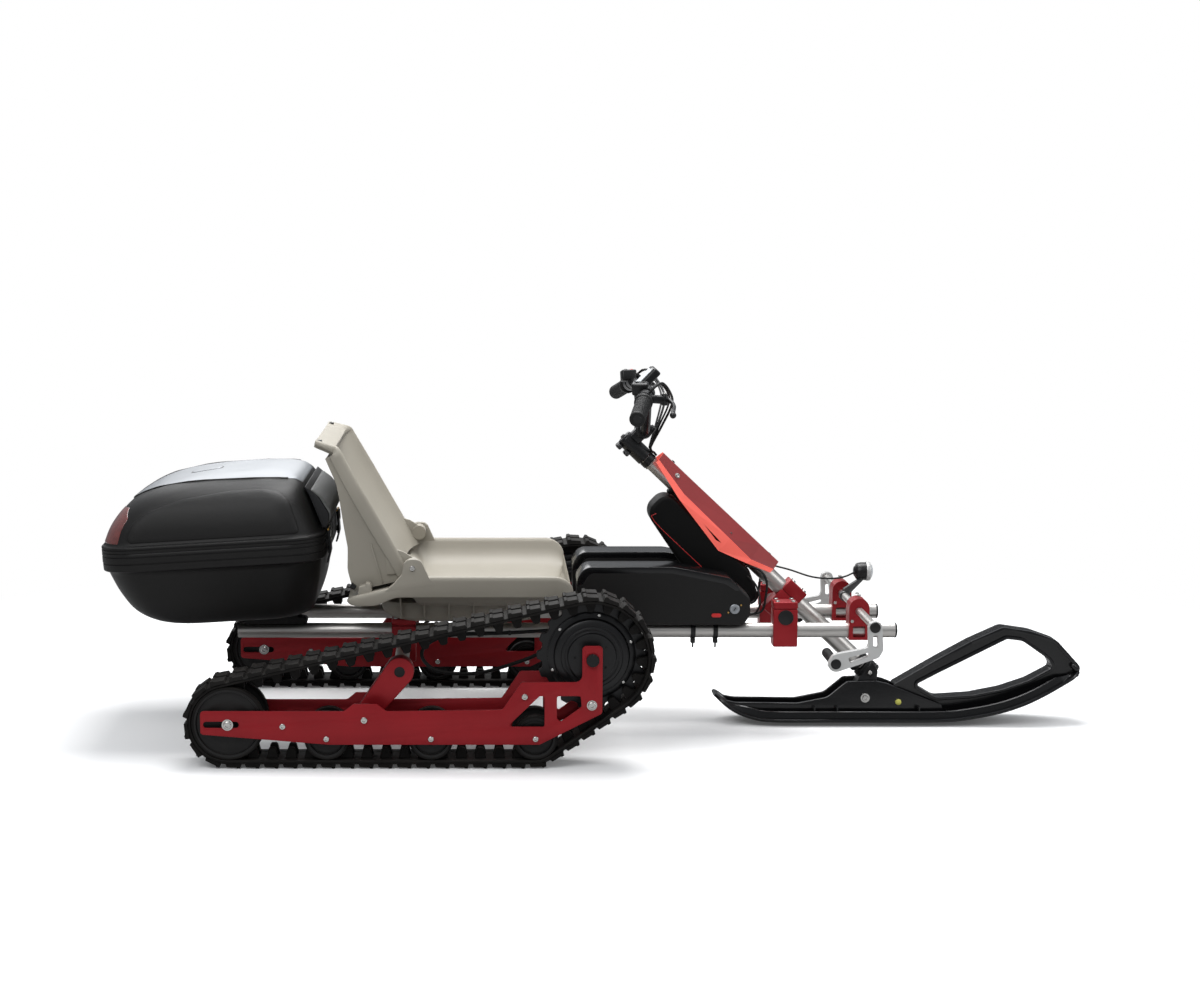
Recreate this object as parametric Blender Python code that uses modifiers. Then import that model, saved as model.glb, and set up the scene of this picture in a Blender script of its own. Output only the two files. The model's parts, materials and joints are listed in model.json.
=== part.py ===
"""Electric snow go-kart: two rear track units, one steered front ski, a folding seat and a lidded top case.

Metres, +X ahead, +Y to the left, +Z up, floor at Z = 0, X = 0 at the middle of the whole length.
"""

import math

import bmesh
import bpy
from mathutils import Matrix, Vector, geometry

# Fits shared by every piece
TOUCH = 0.0003          # gap between two pieces that touch
RUN = 0.0007            # gap between a wheel and the belt it runs on
SIDES = 18              # flats round a tube and round the bore it sits in

# Track units
TRACK_GAUGE = 0.780     # between the middles of the two belts
BELT_WIDTH = 0.100
BELT_THICK = 0.008
LUG_HEIGHT = 0.009
LUG_PITCH = 0.0385
LUG_ROOT = 0.031        # length of a lug along the belt where it joins
LUG_TOP = 0.027
GUIDE_HEIGHT = 0.021
GUIDE_ROOT = 0.024      # length of a guide tooth along the belt where it joins
GUIDE_INNER = 0.0115    # from the belt's middle to the near side of a row of guide teeth
GUIDE_OUTER = 0.0275
IDLER_X = -0.773
IDLER_RADIUS = 0.075
IDLER_HUB = 0.046
IDLER_TO_WHEEL = 0.199  # along the belt's bottom run, idler to the first road wheel
WHEEL_TO_DRIVE = 0.1145
ROAD_WHEEL_RADIUS = 0.046
ROAD_WHEEL_HUB = 0.018
WHEEL_INNER = 0.0305    # from the belt's middle to the disc of an idler or a road wheel
WHEEL_OUTER = 0.0485
DRIVE_X = -0.0375
DRIVE_Z = 0.2252
DRIVE_RADIUS = 0.112
SPROCKET_TEETH = 18
SPROCKET_DEPTH = 0.009
SPROCKET_THICK = 0.010
MOTOR_FLANGE = 0.0895
MOTOR_COVER = 0.076
MOTOR_BOSS = 0.049
MOTOR_FLANGE_FACE = 0.0085      # from the belt's middle, as the two below
MOTOR_COVER_FACE = 0.025
MOTOR_BOSS_FACE = 0.031
AXLE_RADIUS = 0.0075
AXLE_NUT = 0.013
PLATE_THICK = 0.005
PLATE_MIDDLE = 0.0555   # from the belt's middle to the middle of a side plate
SPACER_RADIUS = 0.009
PIVOT_X = -0.4975
PIVOT_Z = 0.1025

# Tube frame
FRAME_HALF = 0.115      # from the middle to a long tube
FRAME_RADIUS = 0.016
FRAME_Z = 0.2242
FRAME_REAR = -0.784
FRAME_FRONT = 0.634
CROSS_RADIUS = 0.015
FRONT_TUBE_X = 0.392
FRONT_TUBE_HALF = 0.142
AXLE_TUBE_X = -0.427
ARM_THICK = 0.036
ARM_LOW_RADIUS = 0.0215
ARM_HIGH_RADIUS = 0.029
CLAMP_LENGTH = 0.052
CLAMP_WIDTH = 0.047
CLAMP_MARGIN = 0.033    # metal past the middle of a clamped tube

# Steering column, raked
RAKE = math.radians(43.6)
HEAD_RADIUS = 0.0185
HEAD_BORE = 0.0150
STEERER_RADIUS = 0.0142
HEAD_TOP = -0.345       # along the column from above the front cross tube, down is positive
HEAD_FOOT = 0.222
STEERER_TOP = -0.500
HEAD_STANDOFF = 0.036   # column's axis above the front cross tube

# Handlebar
BAR_RADIUS = 0.011
BAR_REACH = 0.041       # from the column's axis to the middle of the bar
STEM_LOW = -0.440
STEM_HIGH = -0.503
GRIP_RADIUS = 0.0165
GRIP_FROM = 0.235
GRIP_TO = 0.350
LEVER_RING = 0.0165
LEVER_INSET = 0.022     # along the bar, grip to the middle of the lever's ring
CABLE_RADIUS = 0.003

# Footrest
REST_X = 0.550
REST_Z = 0.2690
REST_RADIUS = 0.0085
REST_HALF = 0.328
REST_CLAMP_RADIUS = 0.0265
REST_CLAMP_WIDTH = 0.044

# Batteries
BATTERY_INNER = 0.065
BATTERY_OUTER = 0.150
COLUMN_BATTERY_HALF = 0.045

# Seat
SEAT_HALF = 0.285
SEAT_BACK_INSET = 0.035 # from the pan's side in to the back's side
SEAT_RIM_WIDTH = 0.027
SEAT_BELLY_INSET = 0.080
SEAT_CHAMFER = 0.030    # of the back's front edges and top corners
SEAT_HINGE_X = -0.404
SEAT_HINGE_Z = 0.386
SEAT_EAR_RADIUS = 0.0165
SEAT_WALL = 0.006
SEAT_FRONT = -0.068
SEAT_REAR = -0.541
SEAT_RIM_Z = 0.368
SEAT_FLOOR_Z = 0.298

# Top case, in its own frame: origin under its middle, nose up by the tilt
CASE_X = -0.795
CASE_Z = 0.2600
CASE_TILT = math.radians(3.4)
CASE_WALL = 0.004
CASE_TUB_HEIGHT = 0.166
CASE_SPLIT_GAP = 0.0006
CASE_REAR = -0.250
CASE_FRONT = 0.212
CASE_HALF = 0.285

# Ski
SKI_HALF = 0.070
SKI_PIVOT_X = 0.584
SKI_PIVOT_Z = 0.0575
SKI_BOTTOM = 0.009      # running face above the keel's edge
SKI_THICK = 0.010
SKI_BOLT_RADIUS = 0.006
SADDLE_INNER = 0.0245
SADDLE_WALL = 0.008

# Colours: base, roughness, metallic
FINISHES = {
    "red_anodised": ((0.42, 0.012, 0.018), 0.42, 0.35),
    "red_paint": ((0.60, 0.045, 0.040), 0.45, 0.25),
    "black_rubber": ((0.020, 0.019, 0.018), 0.85, 0.0),
    "black_plastic": ((0.014, 0.014, 0.015), 0.45, 0.0),
    "black_metal": ((0.012, 0.012, 0.013), 0.40, 0.4),
    "aluminium": ((0.62, 0.61, 0.60), 0.35, 1.0),
    "cast_white": ((0.70, 0.70, 0.69), 0.45, 0.3),
    "seat_plastic": ((0.40, 0.375, 0.32), 0.60, 0.0),
    "grey_plastic": ((0.60, 0.61, 0.62), 0.45, 0.0),
}

FIRST_WHEEL_X = IDLER_X + IDLER_TO_WHEEL
LAST_WHEEL_X = DRIVE_X - WHEEL_TO_DRIVE
ROAD_WHEEL_XS = (FIRST_WHEEL_X, (FIRST_WHEEL_X + LAST_WHEEL_X) / 2, LAST_WHEEL_X)
SEAT_BACK_HALF = SEAT_HALF - SEAT_BACK_INSET

AHEAD_DOWN = Vector((math.cos(RAKE), 0.0, -math.sin(RAKE)))
AHEAD_UP = Vector((math.sin(RAKE), 0.0, math.cos(RAKE)))


def start_scene():
    for old in list(bpy.data.objects):
        bpy.data.objects.remove(old, do_unlink=True)
    parts = bpy.data.collections.new("snow_go_kart")
    cutters = bpy.data.collections.new("cutters")
    bpy.context.scene.collection.children.link(parts)
    bpy.context.scene.collection.children.link(cutters)
    return parts, cutters


PARTS, CUTTERS = start_scene()


def finish_material(name):
    """The shared Principled material of one finish."""
    found = bpy.data.materials.get(name)
    if found:
        return found
    colour, roughness, metallic = FINISHES[name]
    made = bpy.data.materials.new(name)
    made.use_nodes = True
    shader = made.node_tree.nodes["Principled BSDF"]
    shader.inputs["Base Color"].default_value = (*colour, 1.0)
    shader.inputs["Roughness"].default_value = roughness
    shader.inputs["Metallic"].default_value = metallic
    made.diffuse_color = (*colour, 1.0)
    return made


def pivot(name, place, rotation=(0, 0, 0), parent=None):
    """An empty that carries a group of pieces."""
    empty = bpy.data.objects.new(name, None)
    empty.location = place
    empty.rotation_euler = rotation
    empty.parent = parent
    PARTS.objects.link(empty)
    bpy.context.view_layer.update()
    return empty


def carry(obj, parent):
    """Parents a piece that was placed in the whole object's frame, leaving it where it is."""
    obj.parent = parent
    obj.matrix_parent_inverse = parent.matrix_world.inverted()
    return obj


def dress(obj, finish, smooth=True):
    obj.data.materials.clear()
    obj.data.materials.append(finish_material(finish))
    if smooth and obj.type == "MESH":
        obj.data.shade_smooth()
        obj.data.set_sharp_from_angle(angle=math.radians(35))
    return obj


def from_bmesh(name, shape, collection=PARTS):
    bmesh.ops.recalc_face_normals(shape, faces=shape.faces[:])
    mesh = bpy.data.meshes.new(name)
    shape.to_mesh(mesh)
    shape.free()
    obj = bpy.data.objects.new(name, mesh)
    collection.objects.link(obj)
    return obj


def bevel(obj, width, segments=2, angle=40):
    edge = obj.modifiers.new("edges", "BEVEL")
    edge.width = width
    edge.segments = segments
    edge.limit_method = "ANGLE"
    edge.angle_limit = math.radians(angle)
    edge.use_clamp_overlap = True
    return obj


def box(name, size, centre, collection=PARTS, turn=None):
    """A box of a size about a centre, turned by a 3 x 3 matrix."""
    shape = bmesh.new()
    bmesh.ops.create_cube(shape, size=1.0)
    bmesh.ops.scale(shape, vec=size, verts=shape.verts)
    if turn:
        bmesh.ops.rotate(shape, matrix=turn, verts=shape.verts)
    obj = from_bmesh(name, shape, collection)
    obj.location = centre
    return obj


def rod(name, start, end, radius, sides=SIDES, collection=PARTS, end_radius=None):
    """A round bar between two points."""
    start = Vector(start)
    end = Vector(end)
    along = end - start
    shape = bmesh.new()
    bmesh.ops.create_cone(
        shape, cap_ends=True, segments=sides, radius1=radius,
        radius2=radius if end_radius is None else end_radius, depth=along.length,
    )
    obj = from_bmesh(name, shape, collection)
    obj.location = (start + end) / 2
    obj.rotation_mode = "QUATERNION"
    obj.rotation_quaternion = along.to_track_quat("Z", "Y")
    return obj


def turned(name, profile, centre, along, sides=SIDES, collection=PARTS, closed=False):
    """A Screw about `along`; the profile is (radius, height) pairs, from the top down its outer side."""
    shape = bmesh.new()
    corners = [shape.verts.new((radius, 0.0, height)) for radius, height in profile]
    for first, second in zip(corners, corners[1:] + (corners[:1] if closed else [])):
        shape.edges.new((first, second))
    mesh = bpy.data.meshes.new(name)
    shape.to_mesh(mesh)
    shape.free()
    obj = bpy.data.objects.new(name, mesh)
    collection.objects.link(obj)
    obj.location = centre
    obj.rotation_mode = "QUATERNION"
    obj.rotation_quaternion = Vector(along).to_track_quat("Z", "Y")
    screw = obj.modifiers.new("turn", "SCREW")
    screw.axis = "Z"
    screw.steps = sides
    screw.render_steps = sides
    screw.use_merge_vertices = True
    screw.merge_threshold = 0.00001
    screw.use_normal_calculate = False
    return obj


def rounded(corners, steps=2):
    """An outline of corners (x, z, radius) with each corner rounded by an arc of a few steps."""
    found = []
    count = len(corners)
    for index, (x, z, radius) in enumerate(corners):
        here = Vector((x, z))
        before = Vector(corners[index - 1][:2]) - here
        after = Vector(corners[(index + 1) % count][:2]) - here
        if radius <= 0:
            found.append(here)
            continue
        half = before.angle(after) / 2
        reach = min(radius / math.tan(half), 0.49 * before.length, 0.49 * after.length)
        radius = reach * math.tan(half)
        middle = here + (before.normalized() + after.normalized()).normalized() * radius / math.sin(half)
        first = here + before.normalized() * reach - middle
        last = here + after.normalized() * reach - middle
        sweep = first.angle_signed(last)
        for step in range(steps + 1):
            angle = -sweep * step / steps
            found.append(middle + Matrix.Rotation(angle, 2) @ first)
    return found


def circle(x, z, radius, sides=SIDES):
    turn = 2 * math.pi / sides
    return [Vector((x + radius * math.cos(i * turn), z + radius * math.sin(i * turn))) for i in range(sides)]


def within(loop, x, y):
    """Whether a point lies inside a loop, by the count of sides crossed on the way out."""
    inside = False
    for (x0, y0), (x1, y1) in zip(loop, [*loop[1:], loop[0]]):
        if (y0 > y) != (y1 > y) and x < x0 + (y - y0) * (x1 - x0) / (y1 - y0):
            inside = not inside
    return inside


def slab(name, loops, thick, collection):
    """A flat outline with holes, filled and pushed out into a plate about its own plane."""
    corners = []
    sides = []
    for loop in loops:
        first = len(corners)
        corners += [Vector(corner) for corner in loop]
        sides += [(first + index, first + (index + 1) % len(loop)) for index in range(len(loop))]
    places, _, faces = geometry.delaunay_2d_cdt(corners, sides, [], 1, 0.0000001)[:3]
    shape = bmesh.new()
    verts = [shape.verts.new((place.x, place.y, -thick / 2)) for place in places]
    for face in faces:
        x = sum(places[index].x for index in face) / len(face)
        y = sum(places[index].y for index in face) / len(face)
        if not any(within(hole, x, y) for hole in loops[1:]):
            shape.faces.new([verts[index] for index in face])
    pushed = bmesh.ops.extrude_face_region(shape, geom=shape.faces[:])["geom"]
    lifted = [item for item in pushed if isinstance(item, bmesh.types.BMVert)]
    bmesh.ops.translate(shape, vec=(0, 0, thick), verts=lifted)
    return from_bmesh(name, shape, collection)


def side_outline(name, loops, middle_y, thick, collection=PARTS):
    """A flat outline in X and Z with holes, pushed out across Y about a middle plane."""
    obj = slab(name, loops, thick, collection)
    obj.rotation_euler = (math.pi / 2, 0, 0)
    obj.location = (0, middle_y, 0)
    return obj


def plan_outline(name, loops, low, high, collection=PARTS):
    """A flat outline in X and Y with holes, pushed up from low to high."""
    obj = slab(name, loops, high - low, collection)
    obj.location = (0, 0, (low + high) / 2)
    return obj


def loft(name, rings, collection=PARTS, close_first=False):
    """A shell through rings of equal count, its last ring closed by a face."""
    shape = bmesh.new()
    rows = [[shape.verts.new(point) for point in ring] for ring in rings]
    for first, second in zip(rows, rows[1:]):
        count = len(first)
        for index in range(count):
            after = (index + 1) % count
            shape.faces.new((first[index], first[after], second[after], second[index]))
    shape.faces.new(rows[-1])
    if close_first:
        shape.faces.new(rows[0])
    return from_bmesh(name, shape, collection)


def as_mesh(curve_object, collection):
    """The curve made one closed mesh object of the same name and place."""
    bpy.context.view_layer.update()
    graph = bpy.context.evaluated_depsgraph_get()
    mesh = bpy.data.meshes.new_from_object(curve_object.evaluated_get(graph))
    shape = bmesh.new()
    shape.from_mesh(mesh)
    bmesh.ops.remove_doubles(shape, verts=shape.verts[:], dist=0.00001)
    bmesh.ops.recalc_face_normals(shape, faces=shape.faces[:])
    shape.to_mesh(mesh)
    shape.free()
    name = curve_object.name
    place = curve_object.matrix_world.copy()
    bpy.data.objects.remove(curve_object, do_unlink=True)
    obj = bpy.data.objects.new(name, mesh)
    obj.matrix_world = place
    collection.objects.link(obj)
    return obj


def smooth_route(points, spacing):
    """Points no further apart than a spacing on a smooth curve through the given ones, which it keeps."""
    points = [Vector(point) for point in points]
    padded = [2 * points[0] - points[1], *points, 2 * points[-1] - points[-2]]
    found = []
    for a, b, c, d in zip(padded, padded[1:], padded[2:], padded[3:]):
        steps = max(1, math.ceil((c - b).length / spacing))
        for step in range(steps):
            t = step / steps
            found.append(0.5 * (
                2 * b + (c - a) * t + (2 * a - 5 * b + 4 * c - d) * t * t
                + (3 * b - a - 3 * c + d) * t ** 3
            ))
    return [*found, points[-1]]


def bent_tube(name, points, radius, resolution=2, collection=PARTS):
    """A round tube along points, with closed ends."""
    curve = bpy.data.curves.new(name, "CURVE")
    curve.dimensions = "3D"
    curve.bevel_depth = radius
    curve.bevel_resolution = resolution
    curve.use_fill_caps = True
    spline = curve.splines.new("POLY")
    spline.points.add(len(points) - 1)
    for point, place in zip(spline.points, points):
        point.co = (*place, 1.0)
    obj = bpy.data.objects.new(name, curve)
    collection.objects.link(obj)
    return obj


def hide_operand(obj):
    for holder in list(obj.users_collection):
        holder.objects.unlink(obj)
    CUTTERS.objects.link(obj)
    obj.hide_render = True
    obj.display_type = "WIRE"


def combine(obj, other, operation):
    hide_operand(other)
    join = obj.modifiers.new(other.name, "BOOLEAN")
    join.operation = operation
    join.solver = "EXACT"
    join.object = other
    return obj


def cut(obj, *others):
    for other in others:
        combine(obj, other, "DIFFERENCE")
    return obj


def fuse(obj, *others):
    for other in others:
        combine(obj, other, "UNION")
    return obj


def column_point(along, above=0.0, y=0.0):
    """A point by its place along the steering column, its distance above the axis and its y."""
    foot = Vector((FRONT_TUBE_X, 0.0, front_tube_z())) + AHEAD_UP * HEAD_STANDOFF
    return foot + AHEAD_DOWN * along + AHEAD_UP * above + Vector((0.0, y, 0.0))


def front_tube_z():
    return FRAME_Z + FRAME_RADIUS + CROSS_RADIUS + TOUCH


def axle_tube_z():
    return FRAME_Z - FRAME_RADIUS - CROSS_RADIUS - TOUCH


def ground_to_belt():
    """Height of the belt's inner face over the floor on its bottom run."""
    return BELT_THICK + LUG_HEIGHT


# Track belt

def belt_circles():
    """(x, z, radius) of the belt's inner face round the idler, the last road wheel and the drive wheel."""
    inner = ground_to_belt()
    last = ROAD_WHEEL_XS[-1]
    return [
        (IDLER_X, inner + IDLER_RADIUS + RUN, IDLER_RADIUS + RUN),
        (last, inner + ROAD_WHEEL_RADIUS + RUN, ROAD_WHEEL_RADIUS + RUN),
        (DRIVE_X, DRIVE_Z, DRIVE_RADIUS + RUN),
    ]


def belt_stretches():
    """Straight runs and arcs of the belt's inner face, anticlockwise seen from the right."""
    circles = belt_circles()
    leaves = []
    for (x0, z0, r0), (x1, z1, r1) in zip(circles, circles[1:] + circles[:1]):
        span = Vector((x1 - x0, z1 - z0))
        heading = math.atan2(span.y, span.x)
        lean = math.asin((r1 - r0) / span.length)
        outward = heading - math.pi / 2 - lean
        leaves.append((outward, span.length * math.cos(lean)))
    stretches = []
    for index, (x, z, radius) in enumerate(circles):
        entry = leaves[index - 1][0]
        leave, run = leaves[index]
        sweep = (leave - entry) % (2 * math.pi)
        stretches.append(("arc", radius * sweep, (x, z, radius, entry)))
        start = Vector((x, z)) + radius * Vector((math.cos(leave), math.sin(leave)))
        stretches.append(("run", run, (start, leave)))
    return stretches


def belt_place(stretches, walked):
    """The point of the belt's inner face at a distance along it, and the outward direction there."""
    walked %= sum(length for _, length, _ in stretches)
    for kind, length, data in stretches:
        if walked <= length:
            break
        walked -= length
    if kind == "arc":
        x, z, radius, entry = data
        out = Vector((math.cos(entry + walked / radius), math.sin(entry + walked / radius)))
        return Vector((x, z)) + radius * out, out
    start, leave = data
    out = Vector((math.cos(leave), math.sin(leave)))
    return start + walked * Vector((-out.y, out.x)), out


def clear_of_wheels(corners, links):
    """Places of corners (place, outward), moved out until no link between two of them enters a wheel."""
    places = [place.copy() for place, _ in corners]
    wheels = [(Vector((x, z)), radius - RUN + TOUCH) for x, z, radius in belt_circles()]
    for _ in range(80):
        moved = False
        for first, second in links:
            for centre, radius in wheels:
                span = places[second] - places[first]
                share = (centre - places[first]).dot(span) / span.length_squared
                nearest = places[first] + span * min(1.0, max(0.0, share))
                short = radius - (nearest - centre).length
                if short > 0:
                    for index in (first, second):
                        places[index] += corners[index][1] * (short * 0.6 + 0.00001)
                    moved = True
        if not moved:
            break
    return places


def track_belt(side, name):
    """One closed loop: lugs outside, two rows of guide teeth inside that pass either side of the sprocket."""
    stretches = belt_stretches()
    total = sum(length for _, length, _ in stretches)
    count = round(total / LUG_PITCH)
    pitch = total / count
    middle = side * TRACK_GAUGE / 2
    edges = (-BELT_WIDTH / 2, BELT_WIDTH / 2)
    lines = (-GUIDE_OUTER, -GUIDE_INNER, GUIDE_INNER, GUIDE_OUTER)
    shape = bmesh.new()

    def corner(place, across):
        return shape.verts.new((place.x, middle + across, place.y))

    # Inner face: between two lugs, then at the start and at the end of a tooth's root
    corners = []
    links = []
    for index in range(count):
        corners.append(belt_place(stretches, (index - 0.5) * pitch))
        for sign in (-1, 1):
            corners.append(belt_place(stretches, index * pitch + sign * GUIDE_ROOT / 2))
        here = 3 * index
        beyond = 3 * ((index + 1) % count)
        links += [
            (here, here + 1), (here + 1, here + 2), (here, here + 2), (here + 2, beyond), (here + 2, beyond + 1),
            (here, beyond),
        ]
    inner = clear_of_wheels(corners, links)

    lugs = []       # for each edge, four corners of each lug
    feet = []       # for each edge, the inner corner between two lugs
    roots = []      # for each line, the two ends of each tooth's root
    tips = []       # for each line, the tip of each tooth
    for across in edges:
        lugs.append([])
        feet.append([])
        for index in range(count):
            four = []
            for offset, height in (
                (-LUG_ROOT / 2, BELT_THICK), (-LUG_TOP / 2, BELT_THICK + LUG_HEIGHT),
                (LUG_TOP / 2, BELT_THICK + LUG_HEIGHT), (LUG_ROOT / 2, BELT_THICK),
            ):
                place, out = belt_place(stretches, index * pitch + offset)
                four.append(corner(place + out * height, across))
            lugs[-1].append(four)
            feet[-1].append(corner(inner[3 * index], across))
    for across in lines:
        roots.append([])
        tips.append([])
        for index in range(count):
            roots[-1].append([corner(inner[3 * index + end], across) for end in (1, 2)])
            place, out = belt_place(stretches, index * pitch)
            tips[-1].append(corner(place - out * GUIDE_HEIGHT, across))

    for index in range(count):
        after = (index + 1) % count
        for edge in (0, 1):
            four = lugs[edge][index]
            foot, next_foot = feet[edge][index], feet[edge][after]
            shape.faces.new((foot, *four, next_foot))
            shape.faces.new((next_foot, four[3], lugs[edge][after][0]))
            first, last = roots[3 * edge][index]
            shape.faces.new((foot, roots[3 * edge][index - 1][1], first))
            shape.faces.new((foot, first, last))
            shape.faces.new((foot, last, next_foot))
        near, far = lugs[0][index], lugs[1][index]
        for start in range(3):
            shape.faces.new((near[start], near[start + 1], far[start + 1], far[start]))
        shape.faces.new((near[3], lugs[0][after][0], lugs[1][after][0], far[3]))
        for line in range(3):
            here, beyond = roots[line], roots[line + 1]
            shape.faces.new((here[index][1], here[after][0], beyond[after][0], beyond[index][1]))
        shape.faces.new((*roots[1][index], *reversed(roots[2][index])))
        for line in (0, 2):
            (a, b), tip = roots[line][index], tips[line][index]
            (c, d), far_tip = roots[line + 1][index], tips[line + 1][index]
            for face in ((a, tip, far_tip, c), (tip, b, d, far_tip), (a, b, tip), (c, far_tip, d)):
                shape.faces.new(face)
    belt = from_bmesh(name, shape)
    return dress(belt, "black_rubber", smooth=False)


# Wheels of a track unit

def spool(name, x, z, middle, radius, hub, sides):
    """Two discs on a hub, so that the guide teeth pass between them, with a bearing tube out to the plates."""
    reach = PLATE_MIDDLE - PLATE_THICK / 2 - TOUCH
    bearing = 0.012
    half = [
        (bearing, reach), (bearing, WHEEL_OUTER - 0.004), (radius - 0.001, WHEEL_OUTER),
        (radius, WHEEL_INNER), (hub, WHEEL_INNER),
    ]
    profile = [(0.0, reach), *half, *[(r, -h) for r, h in reversed(half)], (0.0, -reach)]
    wheel = turned(name, profile, (x, middle, z), (0, 1, 0), sides=sides)
    return dress(wheel, "black_plastic")


def drive_wheel(side, name):
    """Hub motor between two flanges of a toothed sprocket, with its axle and nuts past both plates."""
    middle = side * TRACK_GAUGE / 2
    outline = []
    turn = 2 * math.pi / SPROCKET_TEETH
    tip = DRIVE_RADIUS - RUN
    root = tip - SPROCKET_DEPTH
    for tooth in range(SPROCKET_TEETH):
        for share, radius in ((-0.32, root), (-0.17, tip), (0.17, tip), (0.32, root)):
            angle = (tooth + share) * turn
            outline.append((DRIVE_X + radius * math.cos(angle), DRIVE_Z + radius * math.sin(angle)))
    sprocket = side_outline(name, [outline], middle, SPROCKET_THICK)
    reach = PLATE_MIDDLE + PLATE_THICK / 2 + TOUCH
    nut = reach + 0.008
    half = [
        (AXLE_NUT, nut), (AXLE_NUT, reach), (AXLE_RADIUS, reach), (AXLE_RADIUS, MOTOR_BOSS_FACE + 0.003),
        (MOTOR_BOSS, MOTOR_BOSS_FACE), (MOTOR_BOSS, MOTOR_COVER_FACE - 0.004),
        (MOTOR_BOSS + 0.008, MOTOR_COVER_FACE), (MOTOR_COVER, MOTOR_COVER_FACE - 0.001),
        (MOTOR_COVER, MOTOR_FLANGE_FACE), (MOTOR_FLANGE, MOTOR_FLANGE_FACE),
    ]
    profile = [(0.0, nut), *half, *[(r, -h) for r, h in reversed(half)], (0.0, -nut)]
    motor = turned(name + "_motor", profile, (DRIVE_X, middle, DRIVE_Z), (0, 1, 0), sides=22)
    fuse(sprocket, motor)
    return dress(sprocket, "black_metal")


def side_plate(side, name, inner):
    """One of the two red plates of a track unit; the inner one carries the spacers and the arm's pivot tube."""
    wheel_z = ground_to_belt() + ROAD_WHEEL_RADIUS + RUN
    low = wheel_z - 0.012
    idler_z = ground_to_belt() + IDLER_RADIUS + RUN
    top = idler_z + 0.028
    first, last = ROAD_WHEEL_XS[0], ROAD_WHEEL_XS[-1]
    corners = [
        (IDLER_X - 0.055, top, 0.007), (PIVOT_X - 0.040, top, 0.012),
        (PIVOT_X - 0.022, PIVOT_Z + 0.033, 0.008), (PIVOT_X + 0.026, PIVOT_Z + 0.033, 0.008),
        (PIVOT_X + 0.045, top, 0.012),
        (last - 0.067, top + 0.003, 0.006), (last - 0.029, DRIVE_Z - 0.045, 0.008),
        (DRIVE_X - 0.021, DRIVE_Z - 0.045, 0.014), (DRIVE_X - 0.021, DRIVE_Z + 0.029, 0.008),
        (DRIVE_X + 0.020, DRIVE_Z + 0.029, 0.008), (DRIVE_X + 0.020, DRIVE_Z - 0.109, 0.008),
        (last + 0.008, low, 0.006), (first + 0.006, low, 0.006),
        (IDLER_X - 0.055, idler_z - 0.020, 0.007),
    ]
    outline = rounded(corners)
    slot = rounded([
        (IDLER_X - 0.049, idler_z - 0.0065, 0.0062), (IDLER_X + 0.023, idler_z - 0.0065, 0.0062),
        (IDLER_X + 0.023, idler_z + 0.0065, 0.0062), (IDLER_X - 0.049, idler_z + 0.0065, 0.0062),
    ])
    rear_window = rounded([
        (last - 0.057, low + 0.037, 0.004), (last + 0.008, low + 0.100, 0.004),
        (last + 0.018, low + 0.100, 0.004), (last + 0.018, low + 0.037, 0.004),
    ])
    front_window = rounded([
        (last + 0.043, low + 0.100, 0.004), (DRIVE_X - 0.024, low + 0.100, 0.004),
        (DRIVE_X - 0.022, low + 0.078, 0.004), (last + 0.050, low + 0.047, 0.004),
        (last + 0.043, low + 0.054, 0.004),
    ])
    axle_hole = circle(DRIVE_X, DRIVE_Z, AXLE_RADIUS + TOUCH)
    away = -1 if inner else 1
    middle = side * (TRACK_GAUGE / 2 + away * PLATE_MIDDLE)
    plate = side_outline(name, [outline, slot, rear_window, front_window, axle_hole], middle, PLATE_THICK)
    if inner:
        near = side * (TRACK_GAUGE / 2 - PLATE_MIDDLE)
        far = side * (TRACK_GAUGE / 2 + PLATE_MIDDLE - PLATE_THICK / 2 - TOUCH)
        for number, (x, z, radius) in enumerate((
            (IDLER_X + 0.111, idler_z - 0.003, SPACER_RADIUS), (PIVOT_X, PIVOT_Z, SPACER_RADIUS),
            (last - 0.022, DRIVE_Z - 0.0745, SPACER_RADIUS),
        )):
            fuse(plate, rod(f"{name}_spacer_{number}", (x, near, z), (x, far, z), radius, 20, CUTTERS))
    return dress(plate, "red_anodised", smooth=False)


def swing_arm(side, name):
    """Arm from the axle tube's end down to the pivot tube between the plates."""
    high = Vector((AXLE_TUBE_X, axle_tube_z()))
    low = Vector((PIVOT_X, PIVOT_Z))
    along = high - low
    heading = math.atan2(along.y, along.x)
    lean = math.asin((ARM_HIGH_RADIUS - ARM_LOW_RADIUS) / along.length)
    outline = []
    for centre, radius, start, sweep in (
        (high, ARM_HIGH_RADIUS, heading - math.pi / 2 - lean, math.pi + 2 * lean),
        (low, ARM_LOW_RADIUS, heading + math.pi / 2 + lean, math.pi - 2 * lean),
    ):
        for step in range(11):
            angle = start + sweep * step / 10
            outline.append(centre + radius * Vector((math.cos(angle), math.sin(angle))))
    bores = [circle(high.x, high.y, CROSS_RADIUS + TOUCH), circle(low.x, low.y, SPACER_RADIUS + TOUCH, 20)]
    arm = side_outline(name, [outline, *bores], side * TRACK_GAUGE / 2, ARM_THICK)
    return dress(arm, "red_anodised", smooth=False)


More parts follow.
